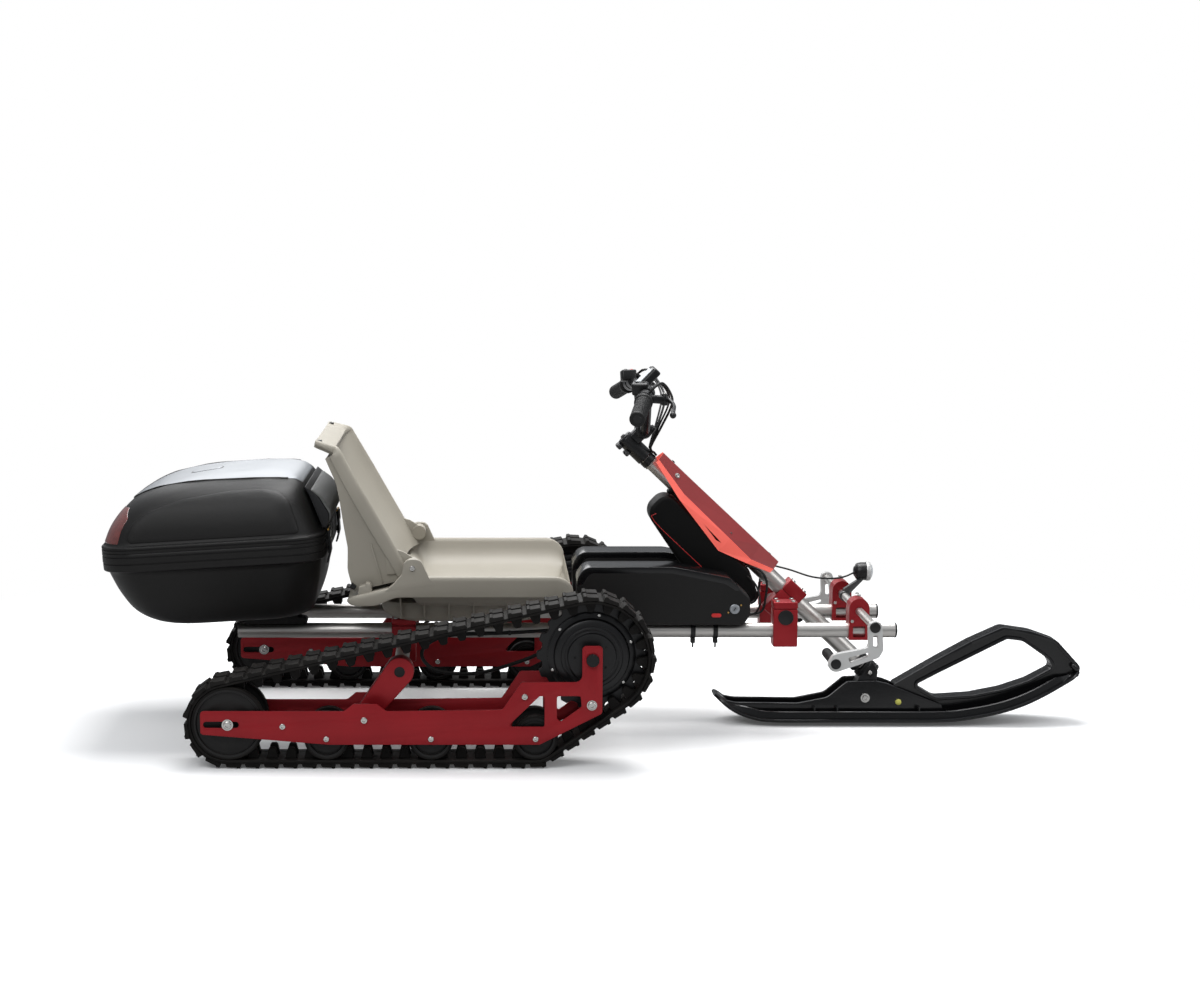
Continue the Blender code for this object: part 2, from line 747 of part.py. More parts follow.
def build_tracks():
    wheel_z = ground_to_belt() + ROAD_WHEEL_RADIUS + RUN
    idler_z = ground_to_belt() + IDLER_RADIUS + RUN
    for side, word in ((-1, "right"), (1, "left")):
        middle = side * TRACK_GAUGE / 2
        track_belt(side, f"track_belt_{word}")
        drive_wheel(side, f"drive_wheel_{word}")
        side_plate(side, f"outer_plate_{word}", inner=False)
        side_plate(side, f"inner_plate_{word}", inner=True)
        spool(f"rear_idler_{word}", IDLER_X, idler_z, middle, IDLER_RADIUS, IDLER_HUB, 22)
        for number, x in enumerate(ROAD_WHEEL_XS, 1):
            spool(f"road_wheel_{word}_{number}", x, wheel_z, middle, ROAD_WHEEL_RADIUS, ROAD_WHEEL_HUB, 16)
        swing_arm(side, f"swing_arm_{word}")


# Tube frame

def clamp_block(name, x, y, low_z, high_z, frame_z, cross_z):
    """A split block that holds a long frame tube and a cross tube one over the other."""
    block = box(name, (CLAMP_LENGTH, CLAMP_WIDTH, high_z - low_z), (x, y, (low_z + high_z) / 2))
    bevel(block, 0.003)
    reach = 0.1
    cut(
        block,
        rod(name + "_long_bore", (x - reach, y, frame_z), (x + reach, y, frame_z), FRAME_RADIUS + TOUCH),
        rod(name + "_cross_bore", (x, y - reach, cross_z), (x, y + reach, cross_z), CROSS_RADIUS + TOUCH),
    )
    return dress(block, "red_anodised", smooth=False)


def build_frame():
    for side, word in ((-1, "right"), (1, "left")):
        y = side * FRAME_HALF
        tube = rod(f"frame_tube_{word}", (FRAME_REAR, y, FRAME_Z), (FRAME_FRONT, y, FRAME_Z), FRAME_RADIUS)
        dress(tube, "aluminium")
        cross = front_tube_z()
        front = clamp_block(
            f"front_clamp_{word}", FRONT_TUBE_X, y, FRAME_Z - CLAMP_MARGIN, cross + CLAMP_MARGIN,
            FRAME_Z, cross,
        )
        carry(front, FRAME)
        axle = axle_tube_z()
        rear = clamp_block(
            f"rear_clamp_{word}", AXLE_TUBE_X, y, axle - CLAMP_MARGIN, FRAME_Z + CLAMP_MARGIN - 0.005,
            FRAME_Z, axle,
        )
        carry(rear, FRAME)
    cross = front_tube_z()
    half = FRONT_TUBE_HALF
    tube = rod("front_cross_tube", (FRONT_TUBE_X, -half, cross), (FRONT_TUBE_X, half, cross), CROSS_RADIUS)
    dress(tube, "aluminium")
    half = TRACK_GAUGE / 2 + ARM_THICK / 2
    axle = axle_tube_z()
    dress(rod("axle_tube", (AXLE_TUBE_X, -half, axle), (AXLE_TUBE_X, half, axle), CROSS_RADIUS), "aluminium")


# Steering column and what it carries

def build_column():
    tube = turned(
        "head_tube",
        [(HEAD_BORE, -HEAD_TOP), (HEAD_RADIUS, -HEAD_TOP), (HEAD_RADIUS, -HEAD_FOOT), (HEAD_BORE, -HEAD_FOOT)],
        column_point(0.0), -AHEAD_DOWN, closed=True,
    )
    dress(tube, "aluminium")
    turn = Matrix.Rotation(RAKE, 3, "Y")
    low = -HEAD_STANDOFF - CROSS_RADIUS - 0.008
    high = HEAD_RADIUS + 0.010
    block = box("head_clamp", (0.050, CLAMP_WIDTH, high - low), column_point(0.0, (low + high) / 2), turn=turn)
    bevel(block, 0.003)
    reach = 0.1
    cross = Vector((FRONT_TUBE_X, 0, front_tube_z()))
    side = Vector((0, reach, 0))
    cut(
        block,
        rod("head_clamp_column_bore", column_point(reach), column_point(-reach), HEAD_RADIUS + TOUCH),
        rod("head_clamp_cross_bore", cross - side, cross + side, CROSS_RADIUS + TOUCH),
    )
    dress(block, "red_anodised", smooth=False)

    # Column battery: a slab under the column, tapered towards its upper end
    top = -HEAD_RADIUS - TOUCH
    corners = [
        (-0.362, top, 0.030), (-0.110, top, 0.020), (-0.050, -0.048, 0.020), (-0.075, -0.128, 0.020),
        (-0.235, -0.112, 0.040), (-0.362, -0.084, 0.030),
    ]
    outline = [
        (point.x, point.z)
        for point in (column_point(along, above) for along, above in rounded(corners, 5))
    ]
    battery = side_outline("column_battery", [outline], 0.0, 2 * COLUMN_BATTERY_HALF)
    bevel(battery, 0.008, 2, 50)
    dress(battery, "black_plastic")

    build_fairing()


def build_fairing():
    """Folded sheet over the column: a top strip, two faces down to a fold, and a flange back in below it."""
    sheet = 0.002
    seat = COLUMN_BATTERY_HALF + sheet / 2 + TOUCH
    stations = (
        # along, top height, half top, fold height, half fold, foot height, half foot
        (-0.420, 0.0340, 0.012, 0.018, 0.030, 0.010, 0.030),
        (-0.330, 0.0340, 0.016, 0.002, 0.048, -0.013, seat + 0.001),
        (-0.190, 0.0350, 0.018, 0.001, 0.058, -0.035, seat),
        (-0.125, 0.0355, 0.017, 0.000, 0.048, -0.012, 0.047),
        (-0.070, 0.0360, 0.012, 0.018, 0.026, 0.008, 0.026),
    )
    shape = bmesh.new()
    rows = []
    for along, top, half_top, fold, half_fold, foot, half_foot in stations:
        section = [
            (foot, -half_foot), (fold, -half_fold), (top, -half_top),
            (top, half_top), (fold, half_fold), (foot, half_foot),
        ]
        rows.append([shape.verts.new(column_point(along, above, y)) for above, y in section])
    for first, second in zip(rows, rows[1:]):
        for a, b, c, d in zip(first, first[1:], second[1:], second):
            shape.faces.new((a, b, c, d))
    fairing = from_bmesh("fairing", shape)
    wall = fairing.modifiers.new("sheet", "SOLIDIFY")
    wall.thickness = sheet
    wall.offset = 0.0
    wall.use_even_offset = True
    slit = [column_point(along, above) for along, above in ((-0.254, -0.015), (-0.197, -0.018), (-0.210, -0.022))]
    cut(fairing, side_outline("fairing_slit", [[(point.x, point.z) for point in slit]], 0.0, 0.200))
    dress(fairing, "red_paint", smooth=False)


def build_batteries():
    low = FRAME_Z + FRAME_RADIUS + TOUCH
    corners = [
        (-0.056, low, 0.006), (-0.056, low + 0.100, 0.020), (-0.040, low + 0.126, 0.030),
        (0.150, low + 0.126, 0.060), (0.268, low + 0.103, 0.020), (0.314, low + 0.060, 0.015),
        (0.315, low + 0.022, 0.010), (0.300, low, 0.010),
    ]
    outline = rounded(corners)
    for side, word in ((-1, "right"), (1, "left")):
        middle = side * (BATTERY_INNER + BATTERY_OUTER) / 2
        battery = side_outline(f"side_battery_{word}", [outline], middle, BATTERY_OUTER - BATTERY_INNER)
        bevel(battery, 0.009, 2, 50)
        dress(battery, "black_plastic")


# Steering

def build_steering():
    steering = pivot("steering_axis", column_point(0.0), (0, RAKE, 0))
    steerer = rod("steerer", column_point(STEERER_TOP), column_point(HEAD_FOOT + 0.004), STEERER_RADIUS)
    carry(dress(steerer, "aluminium"), steering)

    stem = rod("stem", column_point(STEM_HIGH), column_point(STEM_LOW), 0.0195)
    clamp_middle = column_point((STEM_LOW + STEM_HIGH) / 2 - 0.015, BAR_REACH)
    reach = Vector((0, 0.026, 0))
    fuse(stem, rod("stem_bar_clamp", clamp_middle - reach, clamp_middle + reach, 0.018))
    turn = Matrix.Rotation(RAKE, 3, "Y")
    fuse(stem, box("stem_neck", (0.030, 0.030, BAR_REACH), clamp_middle - AHEAD_UP * BAR_REACH / 2, turn=turn))
    cut(
        stem,
        rod("stem_bore", column_point(STEM_HIGH - 0.05), column_point(STEM_LOW + 0.05), STEERER_RADIUS + TOUCH),
        rod("stem_bar_bore", clamp_middle - 2 * reach, clamp_middle + 2 * reach, BAR_RADIUS + TOUCH, 16),
    )
    carry(dress(stem, "black_metal"), steering)

    x, z = clamp_middle.x, clamp_middle.z
    inner_end = Vector((x - 0.017, GRIP_FROM, z + 0.081))
    outer_end = Vector((x - 0.038, GRIP_TO - 0.003, z + 0.055))
    grip_run = outer_end - inner_end
    half = [
        (x, 0.018, z), (x, 0.030, z), (x, 0.044, z + 0.003), (x, 0.062, z + 0.014),
        (x - 0.002, 0.115, z + 0.070), (x - 0.005, 0.150, z + 0.0885),
        inner_end - grip_run * 0.38, inner_end - grip_run * 0.29, inner_end, outer_end,
    ]
    route = [(px, -py, pz) for px, py, pz in reversed(half)] + half
    bar = bent_tube("handlebar", smooth_route(route, 0.035), BAR_RADIUS, 2)
    bar = as_mesh(bar, PARTS)
    carry(dress(bar, "black_metal"), steering)
    for side, word in ((-1, "right"), (1, "left")):
        mirror = Vector((1, side, 1))
        start = inner_end * mirror
        along = (grip_run * mirror).normalized()
        length = grip_run.length
        grip = turned(
            f"grip_{word}",
            [
                (0.0, length + 0.004), (GRIP_RADIUS - 0.002, length + 0.004), (GRIP_RADIUS, length + 0.001),
                (GRIP_RADIUS, 0.012), (GRIP_RADIUS + 0.003, 0.010), (GRIP_RADIUS + 0.003, 0.002),
                (BAR_RADIUS + 0.0005, 0.002), (BAR_RADIUS + 0.0005, length + 0.0005), (0.0, length + 0.0005),
            ],
            start, along, sides=18,
        )
        carry(dress(grip, "black_rubber"), steering)
        perch = start - along * LEVER_INSET
        blade = [
            perch + Vector((0.0135, 0.0, -0.002)), perch + Vector((0.050, side * 0.005, -0.003)),
            perch + Vector((0.058, side * 0.040, -0.012)), perch + Vector((0.050, side * 0.100, -0.026)),
        ]
        lever = as_mesh(bent_tube(f"lever_{word}", smooth_route(blade, 0.014), 0.006, 1), PARTS)
        ring = rod(f"lever_{word}_ring", perch - along * 0.010, perch + along * 0.010, LEVER_RING, 20)
        fuse(lever, ring)
        cut(lever, rod(f"lever_{word}_bore", perch - along * 0.03, perch + along * 0.03, BAR_RADIUS + 0.0006, 16))
        carry(dress(lever, "black_metal"), steering)

    axis = grip_run.normalized()
    perch = inner_end - axis * LEVER_INSET
    leave = Vector((0.6, 0.0, 0.8))
    leave = (leave - axis * leave.dot(axis)).normalized()
    half = [
        column_point(STEM_LOW + 0.006, 0.0215), (0.1080, 0.012, 0.6080), (0.1280, 0.040, 0.6550),
        (0.1460, 0.085, 0.7050), (0.1400, 0.150, 0.7350), perch + Vector((0.037, -0.012, 0.031)),
        perch + leave * 0.026, perch + leave * (LEVER_RING + TOUCH),
    ]
    route = [Vector(point) * Vector((1, -1, 1)) for point in reversed(half[1:])] + half
    cables = bent_tube("control_cables", smooth_route(route, 0.022), CABLE_RADIUS, 1)
    carry(dress(cables, "black_rubber"), steering)

    screen = Vector((x + 0.006, 0.0, z + 0.110))
    lean = Matrix.Rotation(math.radians(-46), 3, "Y")
    display = box("display", (0.062, 0.088, 0.020), screen, turn=lean)
    bevel(display, 0.004)
    mount_top = screen + Vector((0.004, 0, -0.004))
    fuse(display, rod("display_mount", mount_top, (x + 0.002, 0, z + 0.0182), 0.008, 16))
    carry(dress(display, "black_plastic"), steering)

    # Bracket from the steerer's foot down to the ski's cross bolt
    foot = column_point(HEAD_FOOT + 0.004 + TOUCH)
    bolt = Vector((SKI_PIVOT_X, 0, SKI_PIVOT_Z))
    bracket = rod("ski_bracket", foot, foot + AHEAD_DOWN * 0.030, 0.0245)
    width = 2 * (SADDLE_INNER - 0.0015)
    neck_outline = [
        (point.x, point.z) for point in (
            foot + AHEAD_DOWN * 0.010 + AHEAD_UP * 0.022, foot + AHEAD_DOWN * 0.032 + AHEAD_UP * 0.014,
            bolt + Vector((0.022, 0, 0.004)), bolt + Vector((0.012, 0, -0.014)),
            bolt + Vector((-0.014, 0, -0.014)),
            bolt + Vector((-0.030, 0, 0.004)), foot + AHEAD_DOWN * 0.010 - AHEAD_UP * 0.023,
        )
    ]
    neck = side_outline("ski_bracket_neck", [neck_outline], 0.0, width)
    fuse(bracket, neck)
    across = Vector((0, 0.1, 0))
    cut(bracket, rod("ski_bracket_bore", bolt - across, bolt + across, SKI_BOLT_RADIUS + 0.0008, 20))
    carry(dress(bracket, "black_metal"), steering)
    return steering


def build_ski(steering):
    ski_axis = pivot("ski_axis", (SKI_PIVOT_X, 0, SKI_PIVOT_Z))
    ski_axis.parent = steering
    ski_axis.matrix_parent_inverse = steering.matrix_world.inverted()
    bpy.context.view_layer.update()
    low = SKI_BOTTOM
    under = [
        (0.252, 0.060), (0.292, 0.028), (0.335, low + 0.004), (0.385, low), (0.735, low), (0.810, low + 0.007),
        (0.890, low + 0.024), (0.968, low + 0.055), (1.030, low + 0.084), (1.0585, low + 0.102),
    ]
    over = [(x + 0.001, z + SKI_THICK) for x, z in reversed(under)]
    runner = side_outline("ski", [under + over], 0.0, 2 * SKI_HALF)
    plan = rounded([
        (0.250, -0.050, 0.030), (0.420, -SKI_HALF, 0.2), (0.900, -SKI_HALF, 0.2),
        (1.072, -0.045, 0.035), (1.072, 0.045, 0.035), (0.900, SKI_HALF, 0.2), (0.420, SKI_HALF, 0.2),
        (0.250, 0.050, 0.030),
    ], 5)
    combine(runner, plan_outline("ski_plan", [plan], -0.02, 0.3), "INTERSECT")
    rail = [(x, z) for x, z in under if 0.30 < x < 1.05]
    rail_outline = [(x, z + 0.002) for x, z in rail] + [(x, z + SKI_THICK + 0.012) for x, z in reversed(rail)]
    for side in (-1, 1):
        y = side * (SKI_HALF - 0.020)
        fuse(runner, side_outline(f"ski_rail_{side}", [rail_outline], y, 0.008))
    keel = rounded([(0.400, low + 0.002, 0), (0.415, 0.0, 0.01), (0.728, 0.0, 0.01), (0.750, low + 0.002, 0)], 3)
    fuse(runner, side_outline("ski_keel", [keel], 0.0, 0.016))
    loop_outer = rounded([
        (0.640, low + 0.006, 0), (0.655, 0.078, 0.02), (0.715, 0.1165, 0), (0.888, 0.2125, 0.022),
        (1.005, 0.184, 0.03), (1.0595, 0.125, 0.02), (1.056, 0.102, 0.006), (0.968, 0.066, 0),
        (0.890, 0.035, 0), (0.810, 0.018, 0), (0.740, 0.012, 0),
    ])
    loop_inner = rounded([
        (0.750, 0.052, 0.012), (0.908, 0.180, 0.02), (0.985, 0.150, 0.02), (1.003, 0.124, 0.012),
        (0.942, 0.088, 0), (0.886, 0.070, 0), (0.820, 0.056, 0),
    ])
    fuse(runner, side_outline("ski_loop", [loop_outer, loop_inner], 0.0, 0.046))
    saddle = rounded([
        (0.430, low + 0.003, 0), (0.530, 0.058, 0.02), (0.556, 0.086, 0.012), (0.622, 0.086, 0.012),
        (0.760, low + 0.014, 0.01), (0.760, low + 0.003, 0),
    ])
    saddle_half = SADDLE_INNER + SADDLE_WALL / 2
    for side in (-1, 1):
        fuse(runner, side_outline(f"ski_saddle_{side}", [saddle], side * saddle_half, SADDLE_WALL))
    bolt = Vector((SKI_PIVOT_X, 0, SKI_PIVOT_Z))
    across = Vector((0, SADDLE_INNER + SADDLE_WALL + 0.005, 0))
    fuse(runner, rod("ski_bolt", bolt - across, bolt + across, SKI_BOLT_RADIUS, 20))
    carry(dress(runner, "black_plastic", smooth=False), ski_axis)


# Footrest

def build_footrest():
    bar = rod("footrest_bar", (REST_X, -REST_HALF, REST_Z), (REST_X, REST_HALF, REST_Z), REST_RADIUS)
    dress(bar, "aluminium")
    for side, word in ((-1, "right"), (1, "left")):
        y = side * FRAME_HALF
        low = FRAME_Z - FRAME_RADIUS - 0.002
        radius = REST_CLAMP_RADIUS - 0.005
        outline = [(REST_X - radius, low), (REST_X + radius, low)]
        for step in range(11):
            angle = math.pi * step / 10
            outline.append((REST_X + radius * math.cos(angle), REST_Z + 0.006 + radius * math.sin(angle)))
        window = rounded([
            (REST_X - 0.013, low + 0.006, 0.003), (REST_X + 0.013, low + 0.006, 0.003),
            (REST_X + 0.013, low + 0.030, 0.003), (REST_X - 0.013, low + 0.030, 0.003),
        ])
        clamp = side_outline(f"footrest_clamp_{word}", [outline, window], y, REST_CLAMP_WIDTH)
        cut(
            clamp,
            rod(f"footrest_clamp_{word}_long_bore", (REST_X - 0.1, y, FRAME_Z), (REST_X + 0.1, y, FRAME_Z),
                FRAME_RADIUS + TOUCH),
            rod(f"footrest_clamp_{word}_bar_bore", (REST_X, y - 0.1, REST_Z), (REST_X, y + 0.1, REST_Z),
                REST_RADIUS + TOUCH),
        )
        dress(clamp, "red_anodised", smooth=False)

        plane = side * (REST_HALF - 0.009)
        elbow = (REST_X + 0.006, 0.222)
        low_ring = (0.4705, 0.1925)
        arm_outline = rounded([
            (REST_X - 0.014, REST_Z + 0.012, 0.012), (REST_X + 0.014, REST_Z + 0.012, 0.012),
            (REST_X + 0.018, 0.222, 0.016), (elbow[0] + 0.004, 0.206, 0.012),
            (low_ring[0] - 0.002, 0.174, 0.016),
            (low_ring[0] - 0.019, 0.186, 0.014), (low_ring[0] - 0.006, 0.212, 0.016),
            (REST_X - 0.012, 0.226, 0.010),
        ])
        slot_one = rounded([
            (REST_X - 0.004, REST_Z - 0.016, 0.003), (REST_X + 0.006, REST_Z - 0.016, 0.003),
            (REST_X + 0.008, 0.226, 0.003), (REST_X - 0.003, 0.228, 0.003),
        ])
        slot_two = rounded([
            (0.495, 0.206, 0.003), (0.538, 0.217, 0.003), (0.540, 0.209, 0.003), (0.500, 0.194, 0.003),
        ])
        bar_bore = circle(REST_X, REST_Z, REST_RADIUS + TOUCH)
        arm = side_outline(f"footrest_arm_{word}", [arm_outline, slot_one, slot_two, bar_bore], plane, 0.016)
        dress(arm, "cast_white", smooth=False)
        inner_face = plane - side * (0.008 + TOUCH)
        peg = turned(
            f"foot_peg_{word}",
            [(0.0, 0.110), (0.008, 0.110), (0.0105, 0.107), (0.0105, 0.008), (0.013, 0.006), (0.013, 0.0),
             (0.0, 0.0)],
            (low_ring[0], inner_face, low_ring[1]), (0, -side, 0), sides=20,
        )
        dress(peg, "black_rubber")


def build_headlamp():
    y = 0.060
    middle = Vector((0.5865, y, 0.3242))
    lamp = turned(
        "headlamp",
        [(0.0, 0.025), (0.012, 0.024), (0.019, 0.019), (0.0205, 0.013), (0.0205, 0.002), (0.017, -0.012),
         (0.010, -0.018), (0.0, -0.018)],
        middle, (1, 0, 0), sides=18,
    )
    strip = [
        (REST_X - 0.003, REST_Z + 0.004), (REST_X + 0.010, REST_Z + 0.004), (0.588, 0.305), (0.588, 0.309),
        (0.582, 0.309), (REST_X - 0.003, REST_Z + 0.016),
    ]
    fuse(lamp, side_outline("headlamp_strip", [strip], y, 0.014))
    fuse(lamp, rod("headlamp_band", (REST_X, y - 0.009, REST_Z), (REST_X, y + 0.009, REST_Z), REST_RADIUS + 0.003))
    cut(lamp, rod("headlamp_bore", (REST_X, y - 0.05, REST_Z), (REST_X, y + 0.05, REST_Z), REST_RADIUS + TOUCH))
    dress(lamp, "black_plastic")


# Seat

def build_seat():
    low = SEAT_RIM_Z - 0.044
    corner = 0.050
    plan = rounded([
        (SEAT_REAR, -SEAT_HALF, corner), (SEAT_FRONT, -SEAT_HALF, corner),
        (SEAT_FRONT, SEAT_HALF, corner), (SEAT_REAR, SEAT_HALF, corner),
    ])
    pan = plan_outline("seat_pan", [plan], low, SEAT_RIM_Z)
    bevel(pan, 0.010, 2, 50)
    belly_half = SEAT_HALF - SEAT_BELLY_INSET
    belly_rear = SEAT_REAR + 0.066
    belly_front = SEAT_FRONT - 0.052
    belly_plan = rounded([
        (belly_rear, -belly_half, 0.06), (belly_front, -belly_half, 0.06),
        (belly_front, belly_half, 0.06), (belly_rear, belly_half, 0.06),
    ])
    rear_clamp_top = FRAME_Z + CLAMP_MARGIN - 0.005
    belly = plan_outline("seat_belly", [belly_plan], rear_clamp_top + TOUCH, low + 0.030)
    bevel(belly, 0.022, 3, 50)
    fuse(pan, belly)
    ears = []
    for side in (-1, 1):
        ear = rounded([
            (SEAT_HINGE_X - 0.040, low + 0.012, 0), (SEAT_HINGE_X + 0.045, low + 0.012, 0),
            (SEAT_HINGE_X + 0.030, SEAT_RIM_Z - 0.004, 0.010),
            (SEAT_HINGE_X + 0.017, SEAT_HINGE_Z + 0.017, 0.016),
            (SEAT_HINGE_X - 0.017, SEAT_HINGE_Z + 0.017, 0.016),
            (SEAT_HINGE_X - 0.030, SEAT_RIM_Z - 0.012, 0.010),
        ])
        y = side * (SEAT_HALF - 0.0085)
        ears.append(side_outline(f"seat_ear_{side}", [ear], y, 0.013))
    rings = []
    for inset, radius, height in (
        # in from the pan's sides, corner radius, height of the hollow's surface
        (SEAT_RIM_WIDTH, 0.045, SEAT_RIM_Z + 0.1), (SEAT_RIM_WIDTH, 0.045, SEAT_RIM_Z - 0.010),
        (SEAT_RIM_WIDTH + 0.012, 0.050, low + 0.014), (SEAT_RIM_WIDTH + 0.036, 0.055, low + 0.008),
        (SEAT_BELLY_INSET + 0.009, 0.055, low + 0.006), (SEAT_BELLY_INSET + 0.018, 0.055, low - 0.016),
        (SEAT_BELLY_INSET + 0.034, 0.055, SEAT_FLOOR_Z),
    ):
        half = SEAT_HALF - inset
        front = SEAT_FRONT - inset + 0.009
        rear = SEAT_HINGE_X + 0.012 + (inset - SEAT_RIM_WIDTH) / 4
        plan = [(rear, -half, radius), (front, -half, radius), (front, half, radius), (rear, half, radius)]
        rings.append([(x, y, height) for x, y in rounded(plan)])
    hollow = loft("seat_hollow", rings, CUTTERS, close_first=True)
    step_size = (0.30, 2 * SEAT_HALF + 0.1, 0.2)
    rear_step = box("seat_rear_step", step_size, (SEAT_HINGE_X - 0.158, 0, SEAT_RIM_Z + 0.078))
    cut(pan, rear_step, hollow)
    fuse(pan, *ears)
    dress(pan, "seat_plastic")

    fold = pivot("seat_fold_axis", (SEAT_HINGE_X, 0, SEAT_HINGE_Z))
    front_low = Vector((-0.4215, 0.392))
    front_high = Vector((-0.540, 0.684))
    profile = rounded([
        (-0.613, 0.655, 0.006), (-0.599, 0.673, 0.010), (*front_high, 0.008), (*front_low, 0.004),
        (-0.430, SEAT_RIM_Z - 0.006, 0.006), (SEAT_REAR, SEAT_RIM_Z - 0.006, 0.006), (-0.559, 0.503, 0),
        (-0.575, 0.590, 0.03),
    ])
    back = side_outline("seat_back", [profile], 0.0, 2 * SEAT_BACK_HALF)
    bevel(back, 0.004, 2, 50)
    lean = (front_high - front_low).normalized()
    inward = Vector((-lean.y, lean.x))
    if inward.x > 0:
        inward = -inward
    dish = 0.030
    panel = 0.006
    dish_low = front_low - lean * 0.10
    dish_high = front_low + lean * 0.262
    dish_cut = [
        dish_low - inward * 0.1, dish_high - inward * 0.1, dish_high + inward * 0.010, dish_high + inward * dish,
        dish_low + inward * dish,
    ]
    crest = 0.008
    cut(back, side_outline("seat_back_dish", [dish_cut], 0.0, 2 * (SEAT_BACK_HALF - SEAT_CHAMFER - crest)))
    panel_low = front_low - lean * 0.10 + inward * (dish + panel)
    panel_high = front_low + lean * 0.262 + inward * (dish + panel)
    rear_cut = [panel_low, panel_high, panel_high + Vector((-0.25, 0.0)), panel_low + Vector((-0.25, 0.0))]
    cut(back, side_outline("seat_back_hollow", [rear_cut], 0.0, 2 * (SEAT_BACK_HALF - SEAT_WALL)))
    past = 0.010
    half = SEAT_BACK_HALF
    height = (front_high - front_low).length
    for side in (-1, 1):
        rings = []
        for along in (-0.100, height + 0.100):
            start = front_low + lean * along
            section = [
                (start - inward * past, half - SEAT_CHAMFER - past), (start + inward * SEAT_CHAMFER, half),
                (start + inward * (SEAT_CHAMFER + past), half + past), (start - inward * past, half + past),
            ]
            rings.append([(point.x, side * y, point.y) for point, y in section])
        cut(back, loft(f"seat_back_wing_{side}", rings, CUTTERS, close_first=True))
        rings = []
        for depth in (-0.050, 0.150):
            start = front_low + inward * depth
            section = [
                (start + lean * (height - SEAT_CHAMFER - past), half + past),
                (start + lean * (height + past), half - SEAT_CHAMFER - past),
                (start + lean * (height + past), half + past),
            ]
            rings.append([(point.x, side * y, point.y) for point, y in section])
        cut(back, loft(f"seat_back_corner_{side}", rings, CUTTERS, close_first=True))
    hinge = Vector((SEAT_HINGE_X, 0, SEAT_HINGE_Z))
    for side in (-1, 1):
        inner = Vector((0, side * (SEAT_BACK_HALF - SEAT_WALL - 0.004), 0))
        outer = Vector((0, side * (SEAT_HALF - 0.0155), 0))
        fuse(back, rod(f"seat_back_ear_{side}", hinge + inner, hinge + outer, SEAT_EAR_RADIUS, 24))
        web = [
            (SEAT_HINGE_X, SEAT_HINGE_Z + 0.014), (-0.4700, 0.4180), (-0.4650, SEAT_RIM_Z),
            (SEAT_HINGE_X - 0.010, SEAT_HINGE_Z - 0.010),
        ]
        y = side * (SEAT_BACK_HALF - SEAT_WALL / 2 - 0.001)
        fuse(back, side_outline(f"seat_back_web_{side}", [web], y, SEAT_WALL))
    carry(dress(back, "seat_plastic"), fold)


# Top case

def case_ring(height, front, rear, half, bulge, corner=0.07):
    """Points round the case at one height: straight sides, round corners, both ends swelled by `bulge`."""
    flat = half - corner
    swell = bulge * (1 - (flat / half) ** 2)
    turn = [
        ((corner + swell) * math.cos(angle) - corner, flat + corner * math.sin(angle))
        for angle in (math.radians(degrees) for degrees in (30, 60, 90))
    ]
    face = [(bulge * (1 - (share * flat / half) ** 2), share * flat) for share in (-1, 0, 1)]
    end = [(x, -y) for x, y in reversed(turn)] + face + turn
    return [
        (place + sign * x, sign * y, height)
        for sign, place in ((1, front), (-1, rear)) for x, y in end
    ]


def build_case():
    case = pivot("case_frame", (CASE_X, 0, CASE_Z), (0, -CASE_TILT, 0))
    split = CASE_TUB_HEIGHT
    front, rear, half = CASE_FRONT, CASE_REAR, CASE_HALF
    tub_rings = [
        case_ring(split, front, rear, half, 0.006),
        case_ring(split - 0.016, front, rear, half, 0.006),
        case_ring(split - 0.038, front - 0.001, rear + 0.001, half - 0.001, 0.006),
        case_ring(split - 0.042, front - 0.010, rear + 0.010, half - 0.010, 0.006),
        case_ring(0.078, front - 0.018, rear + 0.028, half - 0.024, 0.006),
        case_ring(0.035, front - 0.028, rear + 0.055, half - 0.038, 0.005),
        case_ring(0.010, front - 0.040, rear + 0.092, half - 0.052, 0.003),
        case_ring(0.000, front - 0.066, rear + 0.130, half - 0.074, 0.000),
    ]
    tub = loft("case_tub", tub_rings)
    wall = tub.modifiers.new("wall", "SOLIDIFY")
    wall.thickness = CASE_WALL
    wall.offset = -1.0
    wall.use_even_offset = True
    tub.parent = case
    dress(tub, "black_plastic")

    low = split + CASE_SPLIT_GAP
    lid_rings = [
        case_ring(low, front, rear, half, 0.006),
        case_ring(low + 0.012, front, rear, half, 0.006),
        case_ring(low + 0.016, front - 0.010, rear + 0.006, half - 0.008, 0.008),
        case_ring(low + 0.055, front - 0.024, rear + 0.026, half - 0.014, 0.010),
        case_ring(low + 0.090, front - 0.036, rear + 0.058, half - 0.028, 0.010),
        case_ring(low + 0.115, front - 0.050, rear + 0.108, half - 0.056, 0.010),
        case_ring(low + 0.130, front - 0.070, rear + 0.172, half - 0.105, 0.006),
        case_ring(low + 0.138, front - 0.105, rear + 0.230, half - 0.160, 0.000),
    ]
    lid = loft("case_lid", lid_rings)
    wall = lid.modifiers.new("wall", "SOLIDIFY")
    wall.thickness = CASE_WALL
    wall.offset = -1.0
    wall.use_even_offset = True
    hinge = pivot("lid_axis", (rear - 0.009, 0, low), parent=case)
    lid.parent = hinge
    lid.location = -hinge.location
    dress(lid, "black_plastic")
    return case, hinge


